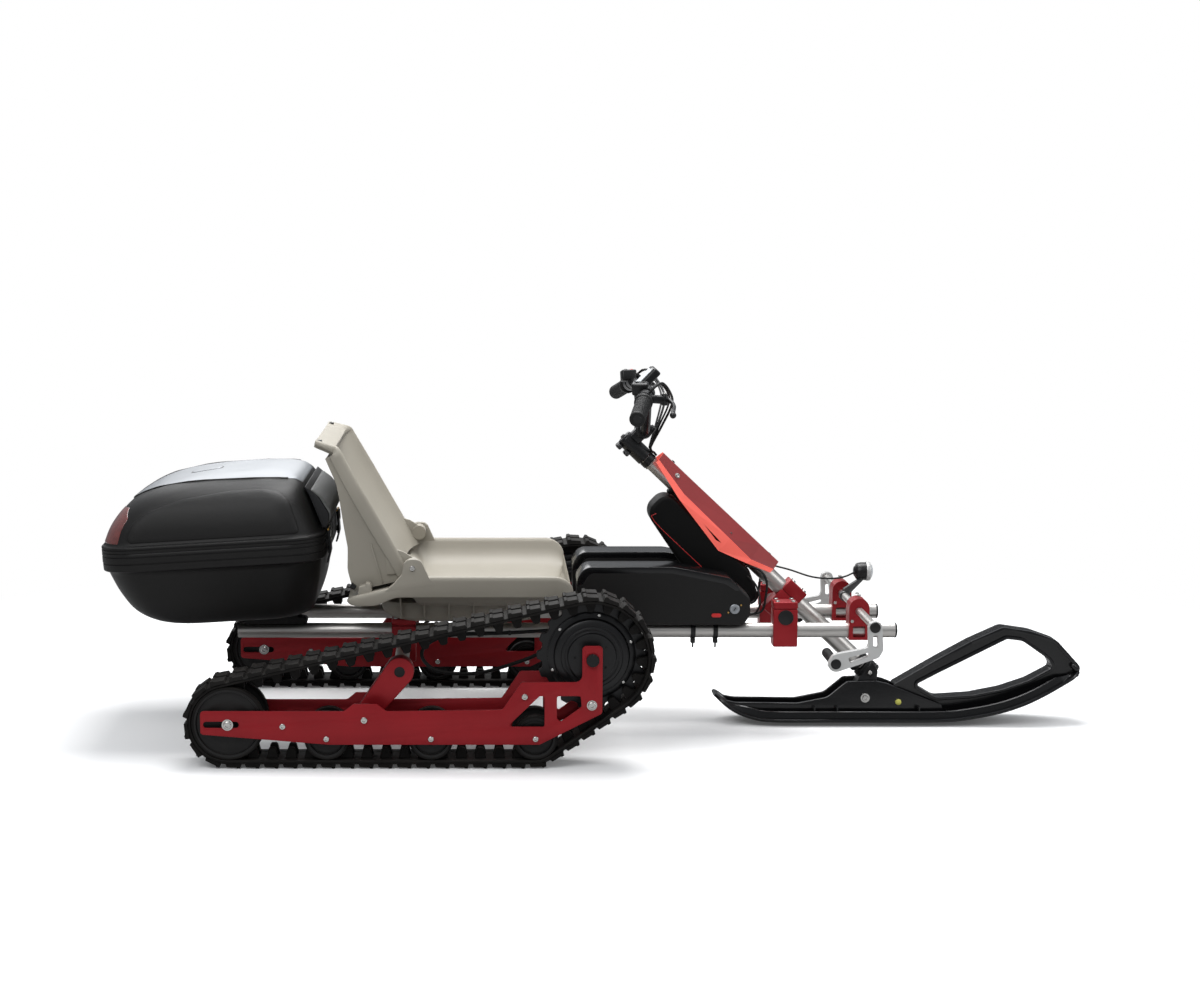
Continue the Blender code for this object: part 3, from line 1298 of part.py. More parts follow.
def build_lid_pad(case, hinge):
    """Backrest pad on the lid's front: (ahead of the case's front edge, above the split) round its section."""
    outline = [
        (-0.0017, 0.0180), (0.0060, 0.0180), (0.0180, 0.034), (0.0230, 0.049), (0.0040, 0.085),
        (-0.0200, 0.104), (-0.0379, 0.1140), (-0.0257, 0.090), (-0.0137, 0.055),
    ]
    low = CASE_TUB_HEIGHT + CASE_SPLIT_GAP
    places = [case.matrix_world @ Vector((CASE_FRONT + ahead, 0, low + up)) for ahead, up in outline]
    pad = side_outline("lid_backrest", [[(place.x, place.z) for place in places]], 0.0, 0.38)
    carry(dress(pad, "black_rubber"), hinge)


def build_rack(case):
    """Wedge between the frame tubes and the tilted tub."""
    low = FRAME_Z + FRAME_RADIUS + TOUCH
    rear = case.matrix_world @ Vector((0.026, 0, -TOUCH))
    front = case.matrix_world @ Vector((0.140, 0, -TOUCH))
    outline = [(rear.x, low), (front.x, low), (front.x, front.z), (rear.x, rear.z)]
    rack = side_outline("case_rack", [outline], 0.0, 2 * FRAME_HALF + 0.030)
    dress(rack, "black_plastic", smooth=False)


# Cords the object holds all the way

def build_leads():
    for side, word in ((-1, "right"), (1, "left")):
        middle = side * TRACK_GAUGE / 2
        inner = side * (TRACK_GAUGE / 2 - PLATE_MIDDLE - PLATE_THICK / 2 - 0.008)
        route = [
            (DRIVE_X - 0.012, inner - side * 0.012, DRIVE_Z),
            (DRIVE_X - 0.050, inner - side * 0.030, DRIVE_Z + 0.004),
            (-0.180, side * 0.285, 0.190), (-0.270, side * 0.260, 0.160), (-0.350, side * 0.230, 0.158),
            (-0.385, side * 0.190, 0.176), (-0.380, side * 0.150, 0.196),
            (-0.330, side * (FRAME_HALF + FRAME_RADIUS + 0.006), 0.216),
            (-0.200, side * (FRAME_HALF + FRAME_RADIUS + 0.0045), 0.222),
            (-0.075, side * (FRAME_HALF + FRAME_RADIUS + 0.0045), 0.230),
        ]
        lead = bent_tube(f"motor_lead_{word}", smooth_route(route, 0.026), 0.004, 1)
        dress(lead, "black_rubber")
    lamp_end = (0.5672, 0.060, 0.3200)
    route = [
        (0.385, 0.000, 0.346), (0.420, 0.006, 0.336), (0.470, 0.022, 0.318), (0.515, 0.040, 0.311),
        (0.548, 0.054, 0.313), lamp_end,
    ]
    lead = bent_tube("lamp_lead", smooth_route(route, 0.016), 0.002, 1)
    dress(lead, "black_rubber")


def build_kart():
    build_tracks()
    build_frame()
    build_column()
    build_batteries()
    steering = build_steering()
    build_ski(steering)
    build_footrest()
    build_headlamp()
    build_seat()
    case, hinge = build_case()
    build_lid_pad(case, hinge)
    build_rack(case)
    build_leads()


FRAME = pivot("frame", (0, 0, 0))
build_kart()
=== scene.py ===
import json
import math

import bmesh
import bpy
from mathutils import Matrix, Vector, geometry
from mathutils.bvhtree import BVHTree

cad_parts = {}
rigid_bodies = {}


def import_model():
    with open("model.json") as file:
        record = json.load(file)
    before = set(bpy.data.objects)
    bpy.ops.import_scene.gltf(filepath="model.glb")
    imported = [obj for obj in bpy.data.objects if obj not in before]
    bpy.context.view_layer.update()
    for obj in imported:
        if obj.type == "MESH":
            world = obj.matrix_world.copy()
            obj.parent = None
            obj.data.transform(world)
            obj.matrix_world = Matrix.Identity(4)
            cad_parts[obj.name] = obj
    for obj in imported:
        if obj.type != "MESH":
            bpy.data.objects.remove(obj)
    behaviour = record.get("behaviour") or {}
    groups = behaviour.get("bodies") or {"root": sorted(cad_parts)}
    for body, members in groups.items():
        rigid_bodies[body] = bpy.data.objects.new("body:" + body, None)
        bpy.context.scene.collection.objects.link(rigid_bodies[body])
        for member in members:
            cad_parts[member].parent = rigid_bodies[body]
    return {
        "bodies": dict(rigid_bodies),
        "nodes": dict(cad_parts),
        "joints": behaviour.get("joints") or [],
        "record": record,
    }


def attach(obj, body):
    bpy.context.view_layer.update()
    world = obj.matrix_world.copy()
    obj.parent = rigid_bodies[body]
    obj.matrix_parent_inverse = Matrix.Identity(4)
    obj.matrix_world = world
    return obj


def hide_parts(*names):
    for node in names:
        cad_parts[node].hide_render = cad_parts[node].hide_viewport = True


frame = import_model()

scene = bpy.context.scene
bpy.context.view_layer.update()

# The same lengths as the part's source, in metres
GAUGE = 0.78
BELT_HALF = 0.05
BELT_THICK = 0.008
LUG_HEIGHT = 0.009
LUG_PITCH = 0.0385
GUIDE_HEIGHT = 0.021
RUN = 0.0007
IDLER = (-0.773, 0.0927, 0.075)
WHEELS = ((-0.574, 0.0637), (-0.363, 0.0637), (-0.152, 0.0637))
WHEEL_RADIUS = 0.046
DRIVE = (-0.0375, 0.2252, 0.112)
PIVOT = (-0.4975, 0.1025)
SPACERS = ((-0.662, 0.0897), PIVOT, (-0.174, 0.1507), (-0.0386, 0.133))
AXLE_TUBE = (-0.427, 0.1929)
PLATE_MIDDLE = 0.0555
PLATE_THICK = 0.005
FRAME_HALF = 0.115
FRAME_RADIUS = 0.016
FRAME_Z = 0.2242
CROSS = (0.392, 0.2555, 0.015)
RAKE = math.radians(43.6)
AHEAD_DOWN = Vector((math.cos(RAKE), 0, -math.sin(RAKE)))
AHEAD_UP = Vector((math.sin(RAKE), 0, math.cos(RAKE)))
COLUMN = Vector((0.392, 0, 0.2555)) + AHEAD_UP * 0.036
SIDES = ((-1, "right"), (1, "left"))

# X and Z, or along and up from the steering column: seat hinge, handlebar clamp, foot rests, ski's cross bolt
SEAT_HINGE = (-0.404, 0.386)
BAR_CLAMP = (-0.4865, 0.041)
REST_X, REST_Z = 0.55, 0.269
PEG_X, PEG_Z = 0.4705, 0.1925
BOLT_X, BOLT_Z = 0.584, 0.0575


# Camera, light and floor

def build_stage():
    camera = bpy.data.objects.new("camera", bpy.data.cameras.new("camera"))
    camera.data.sensor_width = 36
    camera.data.lens = 66.66
    camera.data.shift_x = 0.1025
    camera.location = (-0.27, -4.83, 1.1158)
    camera.rotation_euler = (math.radians(90 - 7.36), 0, 0)
    scene.collection.objects.link(camera)
    scene.camera = camera
    scene.view_settings.view_transform = "Standard"

    for name, place, aim, size, power in (("key", (-1.6, -3, 3.2), (-0.1, 0, 0.3), 2.2, 62),
            ("top", (0, 0.75, 3.2), (0, 0, 0.1), 2.2, 138), ("front", (3.4, -1.6, 1.9), (0.2, 0, 0.3), 1.6, 26),
            ("back", (-1, 3.4, 2.2), (0, 0, 0.3), 2, 26)):
        lamp = bpy.data.objects.new(name, bpy.data.lights.new(name, "AREA"))
        lamp.data.shape = "SQUARE"
        lamp.data.size = size
        lamp.data.energy = power
        lamp.location = place
        lamp.rotation_euler = (Vector(aim) - Vector(place)).to_track_quat("-Z", "Y").to_euler()
        scene.collection.objects.link(lamp)

    world = bpy.data.worlds.new("world")
    scene.world = world
    world.use_nodes = True
    tree = world.node_tree
    tree.nodes.clear()
    way = add_node(tree, "ShaderNodeTexCoord").outputs["Generated"]
    height = add_node(tree, "ShaderNodeSeparateXYZ", {0: way}).outputs["Z"]
    level = add_node(tree, "ShaderNodeMapRange", {"Value": height, "From Min": -0.15, "From Max": 0.85,
        "To Min": 0.1, "To Max": 0.75})
    soft = add_node(tree, "ShaderNodeBackground", {"Color": (0.93, 0.96, 1, 1), "Strength": level.outputs[0]})
    seen = add_node(tree, "ShaderNodeBackground", {"Color": (1, 1, 1, 1), "Strength": 1})
    blend = add_node(tree, "ShaderNodeMixShader", {0: seen_rays(tree), 1: soft.outputs[0], 2: seen.outputs[0]})
    add_node(tree, "ShaderNodeOutputWorld", {"Surface": blend.outputs[0]})

    shape = bmesh.new()
    bmesh.ops.create_grid(shape, x_segments=2, y_segments=2, size=14)
    mesh = bpy.data.meshes.new("floor")
    shape.to_mesh(mesh)
    shape.free()
    floor = bpy.data.objects.new("floor", mesh)
    floor.location.z = -0.0005
    scene.collection.objects.link(floor)
    mesh.materials.append(floor_finish())


def add_node(tree, kind, inputs=None, **settings):
    """A node with its settings; each input, by name or number, takes a value or another node's output."""
    made = tree.nodes.new(kind)
    for name, value in settings.items():
        setattr(made, name, value)
    for name, value in (inputs or {}).items():
        if isinstance(value, bpy.types.NodeSocket):
            tree.links.new(value, made.inputs[name])
        else:
            made.inputs[name].default_value = value
    return made


def seen_rays(tree):
    """1 for the rays of the camera and of clear pieces."""
    path = add_node(tree, "ShaderNodeLightPath").outputs
    both = {0: path["Is Camera Ray"], 1: path["Is Transmission Ray"]}
    return add_node(tree, "ShaderNodeMath", both, operation="MAXIMUM").outputs[0]


def floor_finish():
    """Pale floor that keeps the kart's shadow and turns white away from it."""
    made = bpy.data.materials.new("floor")
    made.use_nodes = True
    tree = made.node_tree
    tree.nodes.clear()
    matt = add_node(tree, "ShaderNodeBsdfDiffuse", {"Color": (0.86, 0.86, 0.86, 1)})
    dim = add_node(tree, "ShaderNodeBsdfDiffuse", {"Color": (0.42, 0.42, 0.42, 1)})
    lift = add_node(tree, "ShaderNodeEmission", {"Strength": 0.06})
    white = add_node(tree, "ShaderNodeEmission", {"Strength": 1})
    near = add_node(tree, "ShaderNodeAddShader", {0: matt.outputs[0], 1: lift.outputs[0]})
    place = add_node(tree, "ShaderNodeTexCoord").outputs["Object"]
    far = add_node(tree, "ShaderNodeVectorMath", {0: place}, operation="LENGTH").outputs["Value"]
    share = add_node(tree, "ShaderNodeMapRange", {"Value": far, "From Min": 1.25, "From Max": 2.3},
        interpolation_type="SMOOTHSTEP")
    fade = add_node(tree, "ShaderNodeMixShader", {0: share.outputs[0], 1: near.outputs[0], 2: white.outputs[0]})
    view = add_node(tree, "ShaderNodeMixShader", {0: seen_rays(tree), 1: dim.outputs[0], 2: fade.outputs[0]})
    add_node(tree, "ShaderNodeOutputMaterial", {"Surface": view.outputs[0]})
    return made


# Finishes

def finish(name, colour, roughness, metallic=0, specular=0.5, vary=0.12, broad=9, grain=600, depth=0.0002,
        stretch=(1, 1, 1), rough_vary=0.08, coat=0, dust=0, sheen=0, anisotropic=0):
    """Broad changes of colour and gloss, a fine grain, and a little dust on faces that look up."""
    made = bpy.data.materials.new(name)
    made.use_nodes = True
    tree = made.node_tree
    shader = tree.nodes["Principled BSDF"]
    for socket, value in (("Metallic", metallic), ("Specular IOR Level", specular), ("Coat Weight", coat),
            ("Coat Roughness", 0.12), ("Sheen Weight", sheen), ("Anisotropic", anisotropic)):
        shader.inputs[socket].default_value = value
    place = add_node(tree, "ShaderNodeTexCoord").outputs["Object"]
    place = add_node(tree, "ShaderNodeMapping", {"Vector": place, "Scale": stretch}).outputs[0]
    cloud = add_node(tree, "ShaderNodeTexNoise", {"Vector": place, "Scale": broad, "Detail": 6, "Roughness": 0.62})
    spread = add_node(tree, "ShaderNodeMapRange", {"Value": cloud.outputs["Fac"], "From Min": 0.32,
        "From Max": 0.68}).outputs[0]
    last = add_node(tree, "ShaderNodeMix", {"A": (*[c * (1 - vary) for c in colour], 1),
        "B": (*[min(1, c * (1 + vary) + dust * 0.02) for c in colour], 1), "Factor": spread},
        data_type="RGBA").outputs["Result"]
    fine = add_node(tree, "ShaderNodeTexNoise", {"Vector": place, "Scale": grain, "Detail": 3}).outputs["Fac"]
    if dust:
        facing = add_node(tree, "ShaderNodeNewGeometry").outputs["Normal"]
        up = add_node(tree, "ShaderNodeSeparateXYZ", {0: facing}).outputs["Z"]
        amount = add_node(tree, "ShaderNodeMath", {0: up, 1: spread}, operation="MULTIPLY").outputs[0]
        level = add_node(tree, "ShaderNodeMapRange", {"Value": amount, "From Max": 0.9, "To Max": dust})
        last = add_node(tree, "ShaderNodeMix", {"A": last, "B": (0.26, 0.24, 0.21, 1), "Factor": level.outputs[0]},
            data_type="RGBA").outputs["Result"]
    tree.links.new(last, shader.inputs["Base Color"])
    gloss = add_node(tree, "ShaderNodeMapRange", {"Value": fine, "To Min": max(0.02, roughness - rough_vary),
        "To Max": min(1, roughness + rough_vary)})
    tree.links.new(gloss.outputs[0], shader.inputs["Roughness"])
    relief = add_node(tree, "ShaderNodeBump", {"Distance": depth, "Strength": 0.6, "Height": fine})
    tree.links.new(relief.outputs[0], shader.inputs["Normal"])
    return made


def build_finishes():
    rows = (
        # name, colour, roughness, the rest
        ("anodised", (0.285, 0.007, 0.012), 0.4, dict(metallic=0.45, grain=1500, depth=0.00006, vary=0.1)),
        ("paint", (0.235, 0.017, 0.018), 0.44, dict(metallic=0.2, coat=0.15, grain=1200, depth=0.00008, vary=0.06)),
        ("rubber", (0.005, 0.0042, 0.0036), 0.66,
         dict(specular=0.18, dust=0.03, vary=0.35, grain=420, depth=0.0005, broad=14)),
        ("soft_rubber", (0.006, 0.006, 0.006), 0.58, dict(specular=0.3, vary=0.2, grain=900)),
        ("textured", (0.0042, 0.0038, 0.0036), 0.5, dict(specular=0.3, vary=0.18, grain=950, depth=0.00035)),
        ("deep_black", (0.0022, 0.0021, 0.0021), 0.52, dict(specular=0.14, vary=0.18, grain=950, depth=0.0003)),
        ("plastic", (0.005, 0.005, 0.0054), 0.36, dict(specular=0.36, vary=0.15, grain=700, depth=0.0001)),
        ("gloss", (0.004, 0.004, 0.0045), 0.2, dict(specular=0.42, vary=0.15, grain=260, depth=0.00005)),
        ("wheel", (0.0062, 0.0058, 0.0056), 0.48, dict(specular=0.32, vary=0.25, dust=0.03, grain=500)),
        ("black_metal", (0.006, 0.006, 0.0066), 0.33, dict(metallic=0.3, vary=0.2, grain=900, depth=0.00006)),
        ("aluminium", (0.5, 0.485, 0.465), 0.4,
         dict(metallic=1, vary=0.06, grain=900, depth=0.00004, stretch=(0.06, 1, 1), rough_vary=0.1, anisotropic=0.3)),
        ("steel", (0.56, 0.55, 0.53), 0.24, dict(metallic=1, vary=0.1, grain=1400, depth=0.00005)),
        ("dark_steel", (0.1, 0.1, 0.1), 0.4, dict(metallic=1, vary=0.2, grain=1400, depth=0.00005)),
        ("cast", (0.52, 0.52, 0.512), 0.42, dict(metallic=0.4, vary=0.05, grain=800, depth=0.00012)),
        ("seat", (0.29, 0.268, 0.224), 0.52,
         dict(specular=0.38, vary=0.05, broad=3.5, grain=1300, depth=0.00022, rough_vary=0.06)),
        ("silver", (0.285, 0.3, 0.32), 0.36, dict(metallic=0.4, vary=0.04, grain=1600, depth=0.00004)),
        ("reflector", (0.13, 0.026, 0.022), 0.2,
         dict(specular=0.6, coat=0.6, vary=0.25, grain=300, broad=60, depth=0.0004)),
        ("red_mark", (0.55, 0.015, 0.015), 0.4, dict(vary=0.08, grain=900)),
        ("brass", (0.7, 0.42, 0.12), 0.3, dict(metallic=1, vary=0.1, grain=900)),
        ("grey_pad", (0.15, 0.152, 0.15), 0.7, dict(specular=0.3, vary=0.12, grain=1500, sheen=0.15)),
        ("black_pad", (0.012, 0.012, 0.013), 0.55, dict(specular=0.35, vary=0.2, grain=1300)),
        ("screen", (0.62, 0.66, 0.69), 0.3, dict(coat=0.2, vary=0.05, grain=120, depth=0.00001)),
        ("lens", (0.62, 0.64, 0.66), 0.1,
         dict(specular=0.7, coat=1, vary=0.12, broad=160, grain=300, depth=0.0004)),
        ("yellow", (0.62, 0.6, 0.12), 0.45, dict(vary=0.1, grain=900)),
    )
    return {name: finish(name, colour, roughness, **rest) for name, colour, roughness, rest in rows}


# Shapes

def box_shape(size, centre=(0, 0, 0), turn=None, round_by=0, steps=2):
    shape = bmesh.new()
    bmesh.ops.create_cube(shape, size=1)
    bmesh.ops.scale(shape, vec=size, verts=shape.verts)
    if round_by:
        soften(shape, round_by, steps)
    if turn:
        bmesh.ops.rotate(shape, matrix=turn, verts=shape.verts)
    bmesh.ops.translate(shape, vec=centre, verts=shape.verts)
    return shape


def soften(shape, width, steps=2, angle=32):
    """Rounds every edge sharper than an angle."""
    limit = math.radians(angle)
    sharp = [e for e in shape.edges if len(e.link_faces) == 2 and e.calc_face_angle(0) > limit]
    bmesh.ops.bevel(shape, geom=sharp, offset=width, offset_type="OFFSET", segments=steps, profile=0.5,
        affect="EDGES", clamp_overlap=True)
    return shape


def lathe(profile, centre, axis, steps=48, closed=False):
    """A turned shape; the profile is (radius, height) pairs along the axis."""
    shape = bmesh.new()
    turn = Vector(axis).normalized().to_track_quat("Z", "Y").to_matrix()
    centre = Vector(centre)
    rings = []
    for radius, height in profile:
        if radius < 0.00001:
            rings.append([shape.verts.new(centre + turn @ Vector((0, 0, height)))])
            continue
        rings.append([shape.verts.new(centre + turn @ Vector((radius * math.cos(2 * math.pi * i / steps), radius
            * math.sin(2 * math.pi * i / steps), height))) for i in range(steps)])
    pairs = list(zip(rings, rings[1:])) + ([(rings[-1], rings[0])] if closed else [])
    for first, second in pairs:
        for i in range(steps):
            after = (i + 1) % steps
            if len(first) == 1 and len(second) == 1:
                continue
            if len(first) == 1:
                shape.faces.new((first[0], second[after], second[i]))
            elif len(second) == 1:
                shape.faces.new((first[i], first[after], second[0]))
            else:
                shape.faces.new((first[i], first[after], second[after], second[i]))
    return shape


def pipe(points, radius, sides=14):
    """A round tube along points; the radius may be one for each point."""
    points = [Vector(p) for p in points]
    radii = radius if isinstance(radius, (list, tuple)) else [radius] * len(points)
    shape = bmesh.new()
    ahead = (points[1] - points[0]).normalized()
    across = ahead.orthogonal().normalized()
    rings = []
    for index, point in enumerate(points):
        before = points[max(index - 1, 0)]
        after = points[min(index + 1, len(points) - 1)]
        now = (after - before).normalized()
        across = (across - now * across.dot(now)).normalized()
        up = now.cross(across)
        rings.append([shape.verts.new(point + radii[index] * (math.cos(2 * math.pi * i / sides) * across
            + math.sin(2 * math.pi * i / sides) * up)) for i in range(sides)])
    for first, second in zip(rings, rings[1:]):
        for i in range(sides):
            after = (i + 1) % sides
            shape.faces.new((first[i], first[after], second[after], second[i]))
    shape.faces.new(rings[0])
    shape.faces.new(list(reversed(rings[-1])))
    return shape


def smooth_route(points, spacing):
    """Points no further apart than a spacing on a smooth curve through the given ones."""
    points = [Vector(point) for point in points]
    padded = [2 * points[0] - points[1], *points, 2 * points[-1] - points[-2]]
    found = []
    for a, b, c, d in zip(padded, padded[1:], padded[2:], padded[3:]):
        steps = max(1, math.ceil((c - b).length / spacing))
        for step in range(steps):
            t = step / steps
            found.append(0.5 * (2 * b + (c - a) * t + (2 * a - 5 * b + 4 * c - d) * t * t + (3 * b - a - 3 * c + d)
                * t ** 3))
    return [*found, points[-1]]


def rounded(corners, steps=6):
    """An outline of corners (x, z, radius) with each corner rounded."""
    found = []
    count = len(corners)
    for index, (x, z, radius) in enumerate(corners):
        here = Vector((x, z))
        before = Vector(corners[index - 1][:2]) - here
        after = Vector(corners[(index + 1) % count][:2]) - here
        if radius <= 0:
            found.append(here)
            continue
        half = before.angle(after) / 2
        reach = min(radius / math.tan(half), 0.49 * before.length, 0.49 * after.length)
        radius = reach * math.tan(half)
        middle = here + (before.normalized() + after.normalized()).normalized() * radius / math.sin(half)
        first = here + before.normalized() * reach - middle
        last = here + after.normalized() * reach - middle
        sweep = first.angle_signed(last)
        for step in range(steps + 1):
            found.append(middle + Matrix.Rotation(-sweep * step / steps, 2) @ first)
    return found


def circle(x, z, radius, sides=32):
    return [Vector((x + radius * math.cos(2 * math.pi * i / sides), z + radius * math.sin(2 * math.pi * i / sides)))
        for i in range(sides)]


def on_side(u, v, w):
    """An outline in X and Z pushed out across Y."""
    return Vector((u, w, v))


def within(loop, x, y):
    inside = False
    for (x0, y0), (x1, y1) in zip(loop, [*loop[1:], loop[0]]):
        if (y0 > y) != (y1 > y) and x < x0 + (y - y0) * (x1 - x0) / (y1 - y0):
            inside = not inside
    return inside


def prism(loops, low, high, round_by=0, steps=2, place=on_side):
    """An outline with holes pushed out from low to high; place(u, v, w) gives each point."""
    corners, sides = [], []
    for loop in loops:
        first = len(corners)
        corners += [Vector(corner) for corner in loop]
        sides += [(first + i, first + (i + 1) % len(loop)) for i in range(len(loop))]
    spots, _, faces = geometry.delaunay_2d_cdt(corners, sides, [], 1, 0.0000001)[:3]
    shape = bmesh.new()
    verts = [shape.verts.new((spot.x, spot.y, low)) for spot in spots]
    for face in faces:
        x = sum(spots[i].x for i in face) / len(face)
        y = sum(spots[i].y for i in face) / len(face)
        if not any(within(hole, x, y) for hole in loops[1:]):
            shape.faces.new([verts[i] for i in face])
    pushed = bmesh.ops.extrude_face_region(shape, geom=shape.faces[:])["geom"]
    lifted = [item for item in pushed if isinstance(item, bmesh.types.BMVert)]
    bmesh.ops.translate(shape, vec=(0, 0, high - low), verts=lifted)
    bmesh.ops.recalc_face_normals(shape, faces=shape.faces[:])
    bmesh.ops.dissolve_limit(shape, angle_limit=0.01, verts=shape.verts[:], edges=shape.edges[:])
    if round_by:
        soften(shape, round_by, steps)
    for vert in shape.verts:
        vert.co = place(*vert.co)
    return shape


def slab(outline, side, near, far, round_by=0, steps=2):
    """An outline in X and Z on one side, between two distances from the middle plane."""
    low, high = sorted((side * near, side * far))
    return prism([outline], low, high, round_by, steps)


def band(inner, outer, half, fall, chamfer):
    """A ring's profile about its middle, with its outer edges chamfered."""
    return [(inner, -half), (outer - chamfer, -half), (outer, fall - half), (outer, half - fall),
        (outer - chamfer, half), (inner, half)]


def add(into, other, slot=0):
    """Adds one shape to another, its faces in a material slot."""
    for face in other.faces:
        face.material_index = slot
    passing = bpy.data.meshes.new("passing")
    other.to_mesh(passing)
    other.free()
    into.from_mesh(passing)
    bpy.data.meshes.remove(passing)
    return into


def piece(name, shape, finishes, body, stands_for=(), smooth=40):
    """A shape made an object that rides on a body and stands for CAD nodes."""
    bmesh.ops.recalc_face_normals(shape, faces=shape.faces[:])
    mesh = bpy.data.meshes.new(name)
    shape.to_mesh(mesh)
    shape.free()
    for each in finishes:
        mesh.materials.append(FINISH[each])
    mesh.shade_smooth()
    mesh.set_sharp_from_angle(angle=math.radians(smooth))
    obj = bpy.data.objects.new(name, mesh)
    scene.collection.objects.link(obj)
    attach(obj, body)
    if stands_for:
        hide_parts(*stands_for)
    return obj


def bolt(place, axis, radius=0.0065, washer=0, height=0.0045):
    """A button-headed socket bolt, with a washer if one is asked for."""
    place, axis = Vector(place), Vector(axis).normalized()
    shape = bmesh.new()
    base = 0
    if washer:
        add(shape, lathe([(0, 0.0014), (washer - 0.0003, 0.0014), (washer, 0.001), (washer, 0), (0, 0)], place, axis,
            28))
        base = 0.0014
    socket = radius * 0.5
    add(shape, lathe([(0, base + height * 0.35), (socket, base + height * 0.35), (socket, base + height * 0.96),
        (radius * 0.72, base + height), (radius * 0.92, base + height * 0.86), (radius, base + height * 0.6),
        (radius, base), (0, base)], place, axis, 24))
    return shape


# Track units

def belt_circles():
    inner = BELT_THICK + LUG_HEIGHT
    x, z, radius = WHEELS[-1][0], inner + WHEEL_RADIUS + RUN, WHEEL_RADIUS + RUN
    return [(IDLER[0], inner + IDLER[2] + RUN, IDLER[2] + RUN), (x, z, radius), (DRIVE[0], DRIVE[1], DRIVE[2] + RUN)]


def belt_stretches():
    circles = belt_circles()
    leaves = []
    for (x0, z0, r0), (x1, z1, r1) in zip(circles, circles[1:] + circles[:1]):
        span = Vector((x1 - x0, z1 - z0))
        lean = math.asin((r1 - r0) / span.length)
        leaves.append((math.atan2(span.y, span.x) - math.pi / 2 - lean, span.length * math.cos(lean)))
    stretches = []
    for index, (x, z, radius) in enumerate(circles):
        entry = leaves[index - 1][0]
        leave, run = leaves[index]
        stretches.append(("arc", radius * ((leave - entry) % (2 * math.pi)), (x, z, radius, entry)))
        start = Vector((x, z)) + radius * Vector((math.cos(leave), math.sin(leave)))
        stretches.append(("run", run, (start, leave)))
    return stretches


def belt_place(stretches, walked):
    walked %= sum(length for _, length, _ in stretches)
    for kind, length, data in stretches:
        if walked <= length:
            break
        walked -= length
    if kind == "arc":
        x, z, radius, entry = data
        out = Vector((math.cos(entry + walked / radius), math.sin(entry + walked / radius)))
        return Vector((x, z)) + radius * out, out
    start, leave = data
    out = Vector((math.cos(leave), math.sin(leave)))
    return start + walked * Vector((-out.y, out.x)), out


def build_belt(side, word):
    """The band swept round its wheels, with two moulded blocks to a lug and two rows of guide teeth."""
    stretches = belt_stretches()
    total = sum(length for _, length, _ in stretches)
    count = round(total / LUG_PITCH)
    pitch = total / count
    middle = side * GAUGE / 2

    def at(walked, across, height):
        spot, out = belt_place(stretches, walked)
        spot = spot + out * height
        return Vector((spot.x, middle + across, spot.y))

    shape = bmesh.new()
    edge = BELT_HALF
    section = [(-edge, 0.0012), (-edge + 0.0012, 0), (-0.03, 0), (-0.0295, 0.0006), (0.0295, 0.0006), (0.03, 0),
        (edge - 0.0012, 0), (edge, 0.0012), (edge, 0.003), (edge - 0.0008, 0.0036), (edge - 0.0008, 0.0044),
        (edge, 0.005), (edge, 0.0068), (edge - 0.0014, 0.008), (-edge + 0.0014, 0.008), (-edge, 0.0068),
        (-edge, 0.005), (-edge + 0.0008, 0.0044), (-edge + 0.0008, 0.0036), (-edge, 0.003)]
    samples = count * 5
    rings = [[shape.verts.new(at(total * i / samples, w, h)) for w, h in section] for i in range(samples)]
    for i in range(samples):
        first, second = rings[i], rings[(i + 1) % samples]
        for j in range(len(section)):
            k = (j + 1) % len(section)
            shape.faces.new((first[j], first[k], second[k], second[j]))

    blocks = bmesh.new()

    def block(walked, profile, start, end, root, draft):
        ends = []
        for across, inward in ((start, 1), (end, -1)):
            ends.append([blocks.verts.new(at(walked + u, across + inward * draft * abs(h - root), h)) for u, h
                in profile])
        blocks.faces.new(ends[0])
        blocks.faces.new(list(reversed(ends[1])))
        n = len(profile)
        for j in range(n):
            blocks.faces.new((ends[0][j], ends[1][j], ends[1][(j + 1) % n], ends[0][(j + 1) % n]))

    root = BELT_THICK - 0.0006
    top = BELT_THICK + LUG_HEIGHT
    lug = [(-0.0155, root), (-0.0135, top - 0.0032), (0.006, top - 0.0022), (0.0075, top), (0.013, top),
        (0.0155, root)]
    bar = [(0.004, root), (0.0075, top - 0.0035), (0.013, top - 0.0035), (0.0155, root)]
    tooth = [(-0.012, 0.0004), (-0.0075, -GUIDE_HEIGHT + 0.003), (-0.0045, -GUIDE_HEIGHT), (0.0045, -GUIDE_HEIGHT),
        (0.0075, -GUIDE_HEIGHT + 0.003), (0.012, 0.0004)]
    for index in range(count):
        walked = index * pitch
        for hand in (-1, 1):
            start, end = sorted((hand * 0.0075, hand * (edge - 0.0003)))
            block(walked, lug, start, end, root, 0.16)
            start, end = sorted((hand * 0.0115, hand * 0.0275))
            block(walked, tooth, start, end, 0, 0.08)
        block(walked, bar, -0.0082, 0.0082, root, 0)
        for hand in (-1, 1):
            start, end = sorted((hand * (edge - 0.0012), hand * edge))
            block(walked, [(-0.015, 0.0052), (-0.0135, 0.0078), (0.015, 0.0078), (0.0155, 0.0052)], start, end, root,
                0)
    bmesh.ops.recalc_face_normals(blocks, faces=blocks.faces[:])
    soften(blocks, 0.0007, 1)
    add(shape, blocks)
    piece(f"belt_{word}", shape, ["rubber"], "chassis", [f"track_belt_{word}"], smooth=30)


def both_ways(half):
    """A half profile (radius, height above the middle) with its mirror image below it."""
    return half + [(r, -h) for r, h in reversed(half)]


